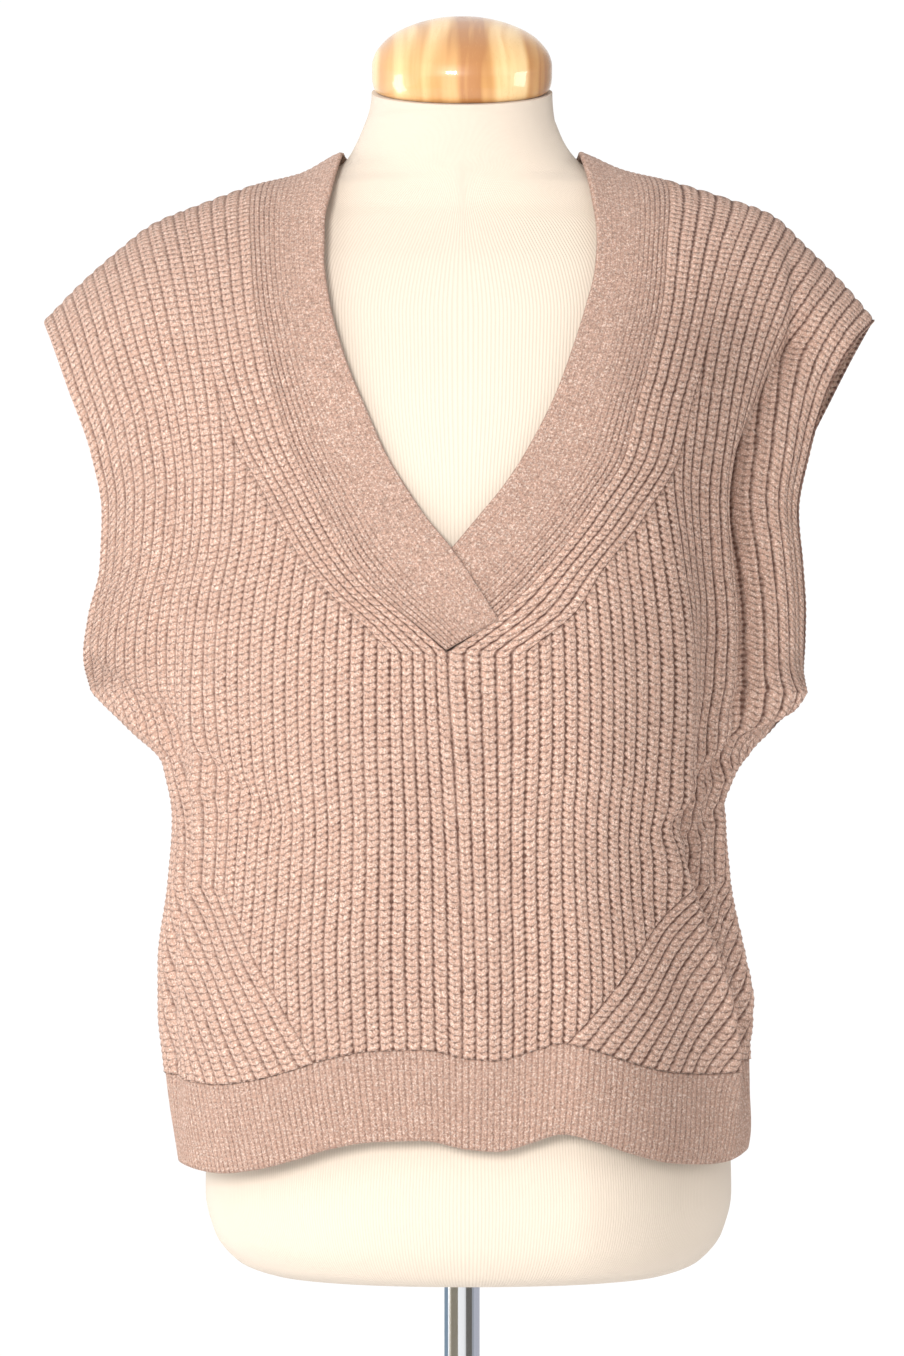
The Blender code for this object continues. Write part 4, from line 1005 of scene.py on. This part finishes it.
class Finish:
    # a material whose nodes are made by one method
    def __init__(self, name, fixed):
        self.material = bpy.data.materials.new(name)
        self.material.use_nodes = True
        self.tree = self.material.node_tree
        self.shader = self.tree.nodes["Principled BSDF"]
        for socket, value in fixed.items():
            self.shader.inputs[socket].default_value = value

    def node(self, kind, settings, values, out=0):
        made = self.tree.nodes.new(kind)
        for key, value in settings.items():
            if key == "stops":
                ramp = made.color_ramp
                while len(ramp.elements) < len(value):
                    ramp.elements.new(0.5)
                for element, (place, colour) in zip(ramp.elements, value):
                    element.position, element.color = place, (*colour, 1)
            else:
                setattr(made, key, value)
        for key, value in values.items():
            if isinstance(value, Socket):
                self.tree.links.new(value.out, made.inputs[key])
            else:
                made.inputs[key].default_value = value
        return Socket(self, made.outputs[out])

    def mix(self, factor, first, second, blend="MIX"):
        settings = {"data_type": "RGBA", "blend_type": blend}
        first, second = (value if isinstance(value, Socket) else (*value, 1) for value in (first, second))
        return self.node("ShaderNodeMix", settings, {0: factor, 6: first, 7: second}, 2)

    def bumped(self, height, distance, strength=1.0):
        return self.node("ShaderNodeBump", {}, {"Strength": strength, "Distance": distance, "Height": height})

    def place(self):
        return self.node("ShaderNodeTexCoord", {}, {}, 3)    # in the piece's own metres

    def stitches(self):
        # how many ribs across and how many rows of stitches up
        uv = self.node("ShaderNodeUVMap", {"uv_map": "stitches"}, {})
        return [self.node("ShaderNodeSeparateXYZ", {}, {0: uv}, axis) for axis in (0, 1)]

    def noise(self, place, scale, detail=2.0, roughness=0.5, out=0):
        return self.node("ShaderNodeTexNoise", {}, {"Vector": place, "Scale": scale, "Detail": detail,
                                                    "Roughness": roughness}, out)

    def stretched(self, place, by):
        return self.node("ShaderNodeVectorMath", {"operation": "MULTIPLY"}, {0: place, 1: by})

    def feed(self, **links):
        for socket, value in links.items():
            self.tree.links.new(value.out, self.shader.inputs[socket.replace("_", " ")])


# the gutter colour is painted shade, laid into the knit's furrows, notches and pits
wool = {
    "colour": (0.62, 0.390, 0.298), "fleck": (0.96, 0.76, 0.65), "fibre": (0.27, 0.145, 0.10),
    "gutterShade": (0.13, 0.060, 0.042), "shade": (0.55, 0.375, 0.30), "sheen": 0.08,
}


def woolFinish(name, vee, hole, bump, gutterWidth, yarnAcross, depth, rowReliefAndShade, level, grain,
               leftShadeCut=0.0, fading=None):
    finish = Finish(name, {"Sheen Weight": wool["sheen"], "Sheen Roughness": 0.6, "Specular IOR Level": 0.25,
                           "Sheen Tint": (1.0, 0.9, 0.85, 1)})
    wale, course = finish.stitches()
    place = finish.place()
    wobble = finish.noise(place, 220.0, 1.0) - 0.5
    slub = finish.noise(place, 60.0, 2.0)                            # the yarn is thick and thin
    weave = (course * (2 * math.pi)).sine() * 0.035                  # stitches bulge into the furrow by turns
    side = abs((wale + wobble * 0.20 + weave).fraction() - 0.5) * 2  # 0 mid rib, 1 in the furrow
    row = course - side * vee + wobble * 0.45
    bar = abs((row * math.pi).sine())                                # each stitch's arms
    plump = bar ** 0.55
    notch = 1 - plump
    centre = (1 - side * (1 / hole)).clamped()                       # where the two arms meet
    pit = centre * (1 - plump * 0.8)
    furrow = ((side - (1 - gutterWidth)) * (1 / gutterWidth)).clamped()
    furrow = furrow * furrow * (3 - furrow * 2)
    if fading:
        furrow = furrow * (1 - ((wale - fading[0]) * (1 / (fading[1] - fading[0]))).clamped() * fading[2])
    ply = ((row * 6.0 + side * yarnAcross) * (2 * math.pi)).sine() * 0.5 + 0.5
    fuzz = finish.noise(place, 1500.0, 3.0, 0.65)
    height = plump * (0.4 + rowReliefAndShade) * (1 - furrow * 0.5) - pit * 0.9 + ply * 0.16 + fuzz * 0.5 + slub * 0.5
    flecks = ((finish.noise(place, 900.0, 2.0, 0.6) - 0.50) * 7.0).clamped()
    fibres = ((0.45 - finish.noise(place, 1100.0, 2.0, 0.6)) * 8.0).clamped()
    drift = finish.noise(place, 14.0, 2.0)
    colour = finish.mix(flecks * 0.85, wool["colour"], wool["fleck"])
    colour = finish.mix(fibres * 0.75, colour, wool["fibre"])
    colour = finish.mix((drift - 0.35).clamped() * 0.5, colour, wool["shade"])
    # painted shade: the notches between stitch rows and the pits where a stitch's arms meet are darkened with
    # the gutter colour
    colour = finish.mix(notch * notch * rowReliefAndShade, colour, wool["gutterShade"])
    colour = finish.mix(pit * (1.2 * rowReliefAndShade), colour, wool["gutterShade"])
    brokenShade = 1.15 - bar * 0.55                                       # the painted furrow shade is darker between stitches
    across = finish.node("ShaderNodeSeparateXYZ", {}, {0: place}, 0)
    brokenShade = brokenShade * (1 - ((-0.02 - across) * 12.0).clamped() * leftShadeCut)    # the painted furrow shade is weaker on the left side
    # painted shade: the furrows between ribs are darkened with the gutter colour; depth sets how dark this
    # painted shade is
    colour = finish.mix((furrow * brokenShade * (slub + 0.5) * depth).clamped(), colour, wool["gutterShade"])
    # level darkens the whole finish: painted shade for the fine knits' own self-shadowing; grain adds random
    # specks
    speck = ((finish.noise(place, 480.0, 2.0, 0.6) - 0.5) * 2.5 * grain + 1) * level
    tone = finish.node("ShaderNodeCombineColor", {}, {0: speck, 1: speck, 2: speck})
    colour = finish.mix(1.0, colour, tone, "MULTIPLY")
    finish.feed(Base_Color=colour, Normal=finish.bumped(height, bump), Roughness=0.98 - fuzz * 0.2)
    return finish.material


def jerseyFinish():
    finish = Finish("creamJersey", {"Sheen Weight": 0.15, "Sheen Roughness": 0.5, "Specular IOR Level": 0.3})
    wale, _ = finish.stitches()
    place = finish.place()
    rib = abs((wale * math.pi).sine())
    knots = finish.noise(finish.stretched(place, (1.0, 1.0, 0.6)), 1300.0, 2.0)
    normal = finish.bumped(rib + knots * 0.4, 0.0004, 0.5)
    # painted shade: the jersey's colour is darker between its wales and lighter on them
    colour = finish.mix(rib * 0.7, (0.58, 0.485, 0.395), (0.69, 0.60, 0.505))
    colour = finish.mix((finish.noise(place, 9.0) - 0.4).clamped() * 0.4, colour, (0.70, 0.62, 0.50))
    finish.feed(Base_Color=colour, Normal=normal, Roughness=0.75 + knots * 0.2)
    return finish.material


def pineFinish():
    finish = Finish("varnishedPine", {"Coat Weight": 0.7, "Coat Roughness": 0.03, "Specular IOR Level": 0.5})
    place = finish.place()
    bend = finish.stretched(finish.noise(place, 16.0, 1.0, 0.5, 1), (0.010, 0.0, 0.0))
    place = finish.node("ShaderNodeVectorMath", {"operation": "ADD"}, {0: place, 1: bend})
    grain = finish.noise(finish.stretched(place, (1.0, 0.10, 0.05)), 95.0, 1.5, 0.45)
    late = finish.noise(finish.stretched(place, (1.0, 0.15, 0.04)), 210.0, 1.0, 0.5)
    pores = finish.noise(finish.stretched(place, (1.0, 0.4, 0.04)), 1400.0, 2.0, 0.6)
    colour = finish.node("ShaderNodeValToRGB", {"stops": (
        (0.34, (0.40, 0.17, 0.05)), (0.43, (0.55, 0.29, 0.10)), (0.52, (0.66, 0.40, 0.17)),
        (0.62, (0.76, 0.52, 0.25)))}, {"Fac": grain})
    colour = finish.mix(((late - 0.56) * 6.0).clamped() * 0.35, colour, (0.62, 0.33, 0.11))
    colour = finish.mix(((pores - 0.58) * 5.0).clamped() * 0.4, colour, (0.50, 0.26, 0.09))
    finish.feed(Base_Color=colour, Normal=finish.bumped(pores, 0.0002, 0.15), Roughness=0.32 + pores * 0.15)
    return finish.material


def chromeFinish():
    finish = Finish("polishedChrome", {"Metallic": 1.0})
    place = finish.place()
    wipe = finish.noise(finish.stretched(place, (1.0, 1.0, 0.15)), 60.0, 3.0)
    colour = finish.mix(wipe * 0.4, (0.80, 0.81, 0.83), (0.70, 0.71, 0.73))
    finish.feed(Base_Color=colour, Roughness=0.05 + wipe * 0.10)
    return finish.material


print("mixing finishes")
wide = woolFinish("wideRibWool", vee=panel["vee"], hole=0.30, bump=0.0014, gutterWidth=0.38, yarnAcross=2.0,
                  depth=1.2, rowReliefAndShade=0.50, level=1.0, grain=0.22, leftShadeCut=0.33)
# the fine and band knits' lower level is painted shade, darkening them overall
fine = woolFinish("fineRibWool", vee=0.30, hole=0.22, bump=0.0006, gutterWidth=0.55, yarnAcross=1.0,
                  depth=0.5, rowReliefAndShade=0.10, level=0.70, grain=0.3)
close = woolFinish("bandWool", vee=0.30, hole=0.2, bump=0.0005, gutterWidth=0.55, yarnAcross=1.0,
                   depth=0.85, rowReliefAndShade=0.22, level=0.68, grain=0.5, fading=(2.0, 8.0, 0.7))
jersey, pine, chrome = jerseyFinish(), pineFinish(), chromeFinish()

print("knitting the front")
frontPiece = makeFront().build("knitFront", wide, "knit")
print("knitting the back")
backPiece = makeBack().build("knitBack", wide, "knit")
print("knitting the welts")
hemFront = makeWelt(front).build("weltFront", fine, "knit")
hemBack = makeWelt(back).build("weltBack", fine, "knit")
print("linking the neck band")
band = makeBand().build("neckBand", close, "knit")
print("making the form")
torso = makeTorso(jersey)
capPiece = makeCap(pine)
pole, base = makeStand(chrome)

stoodFor = (
    (frontPiece, "front"), (backPiece, "back"), (hemFront, "hem_front"), (hemBack, "hem_back"),
    (band, "neck_band"), (torso, "form_torso"), (capPiece, "neck_cap"), (pole, "pole"), (base, "base"),
)
for piece, node in stoodFor:
    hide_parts(node)
for piece in bpy.data.objects:
    if piece.type == "MESH":
        print(piece.name, len(piece.data.polygons), "faces")

studio = {
    "floor": 3.4, "floorSides": 96, "floorColour": (0.88, 0.88, 0.88, 1),
    # brightness of the surroundings from the far right to the far left
    "world": ((0.0, 0.38), (0.24, 0.50), (0.39, 1.02), (0.60, 1.05), (0.78, 1.15), (1.0, 1.20)),
    # what the chrome mirrors: from and to, in degrees round from the front, and brightness
    "cards": (
        ((-165, -102), (0.24, 0.33, 0.42)), ((-92, -76), (0.62, 0.55, 0.44)),
        ((-76, -26), (0.27, 0.235, 0.17)), ((26, 68), (0.13, 0.12, 0.105)),
        ((68, 84), (0.36, 0.38, 0.42)), ((84, 165), (0.50, 0.51, 0.58)),
    ),
    "cardHeight": 0.62, "cardPosts": 24,
    # corners and depth of a gauze that shades the right side from the key light
    "gauze": ((0.026, 0.78), (0.078, 0.78), (0.110, 1.43), (0.050, 1.43)), "gauzeDepth": -0.36,
    # place, aimed at, size, power, colour
    "lights": (
        ("key", (-0.7, -3.0, 1.75), (0, 0, 1.15), 0.7, 82.0, (1.0, 0.985, 0.965)),
        ("fill", (2.6, -2.2, 1.8), (0, 0, 1.15), 1.8, 6.0, (0.95, 0.97, 1.0)),
        ("rimLeft", (-2.4, 0.1, 0.9), (-0.15, 0, 1.0), 0.8, 14.0, (1.0, 1.0, 1.0)),
        ("rimRight", (2.4, -0.4, 1.3), (0.2, 0, 1.15), 0.8, 13.0, (1.0, 1.0, 1.0)),
    ),
}


def addStagePiece(name, points, faces, finish, unseen=()):
    mesh = bpy.data.meshes.new(name)
    mesh.from_pydata(points, [], faces)
    mesh.materials.append(finish.material)
    item = bpy.data.objects.new(name, mesh)
    for rays in unseen:
        setattr(item, "visible_" + rays, False)
    bpy.context.scene.collection.objects.link(item)


def setFloor():
    finish = Finish("studioFloor", {"Roughness": 0.9, "Base Color": studio["floorColour"]})
    sides = studio["floorSides"]
    turn = np.linspace(0, 2 * math.pi, sides, endpoint=False)
    x, y = studio["floor"] * np.cos(turn), studio["floor"] * np.sin(turn)
    addStagePiece("floor", [(a, b, 0.0) for a, b in zip(x, y)], [tuple(range(sides))], finish)


def setCards():
    posts = studio["cardPosts"]
    for n, ((start, stop), colour) in enumerate(studio["cards"]):
        finish = Finish("card", {"Roughness": 1.0, "Base Color": (0, 0, 0, 1), "Emission Color": (*colour, 1),
                                 "Emission Strength": 1.0})
        turn = np.radians(np.linspace(start, stop, posts))
        x, y = np.sin(turn) * studio["floor"], -np.cos(turn) * studio["floor"]
        points = [(a, b, z) for z in (0.0, studio["cardHeight"]) for a, b in zip(x, y)]
        faces = [(k, k + 1, k + posts + 1, k + posts) for k in range(posts - 1)]
        addStagePiece(f"card{n}", points, faces, finish, ("camera", "diffuse", "shadow"))


def setGauze():
    finish = Finish("gauze", {})
    thin = finish.node("ShaderNodeBsdfTransparent", {}, {"Color": (0, 0, 0, 1)})
    finish.tree.links.new(thin.out, finish.tree.nodes["Material Output"].inputs["Surface"])
    points = [(x, studio["gauzeDepth"], z) for x, z in studio["gauze"]]
    addStagePiece("gauze", points, [(0, 1, 2, 3)], finish, ("camera", "diffuse", "glossy", "transmission"))


def setWorld():
    world = bpy.data.worlds.new("studio")
    bpy.context.scene.world = world
    world.use_nodes = True
    nodes, links = world.node_tree.nodes, world.node_tree.links
    way, parts, ramp = (nodes.new("ShaderNode" + kind) for kind in ("TexCoord", "SeparateXYZ", "ValToRGB"))
    side = nodes.new("ShaderNodeMapRange")
    side.inputs["From Min"].default_value, side.inputs["From Max"].default_value = 1.0, -1.0
    brightest = max(level for _, level in studio["world"])
    while len(ramp.color_ramp.elements) < len(studio["world"]):
        ramp.color_ramp.elements.new(0.5)
    for element, (at, level) in zip(ramp.color_ramp.elements, studio["world"]):
        element.position, element.color = at, (*[level / brightest] * 3, 1)
    links.new(way.outputs["Generated"], parts.inputs[0])
    links.new(parts.outputs[0], side.inputs["Value"])
    links.new(side.outputs[0], ramp.inputs[0])
    links.new(ramp.outputs[0], nodes["Background"].inputs["Color"])
    nodes["Background"].inputs["Strength"].default_value = brightest


def setLights():
    for name, place, aim, size, power, colour in studio["lights"]:
        lamp = bpy.data.lights.new(name, "AREA")
        lamp.size, lamp.energy, lamp.color = size, power, colour
        item = bpy.data.objects.new(name, lamp)
        item.location = place
        x, y, z = (there - here for here, there in zip(place, aim))
        item.rotation_euler = (math.acos(-z / math.dist(place, aim)), 0, math.atan2(y, x) - math.pi / 2)
        bpy.context.scene.collection.objects.link(item)


print("setting the stage")
setFloor()
setCards()
setGauze()
setWorld()
setLights()
setCamera()
bpy.context.scene.view_settings.view_transform = "Standard"
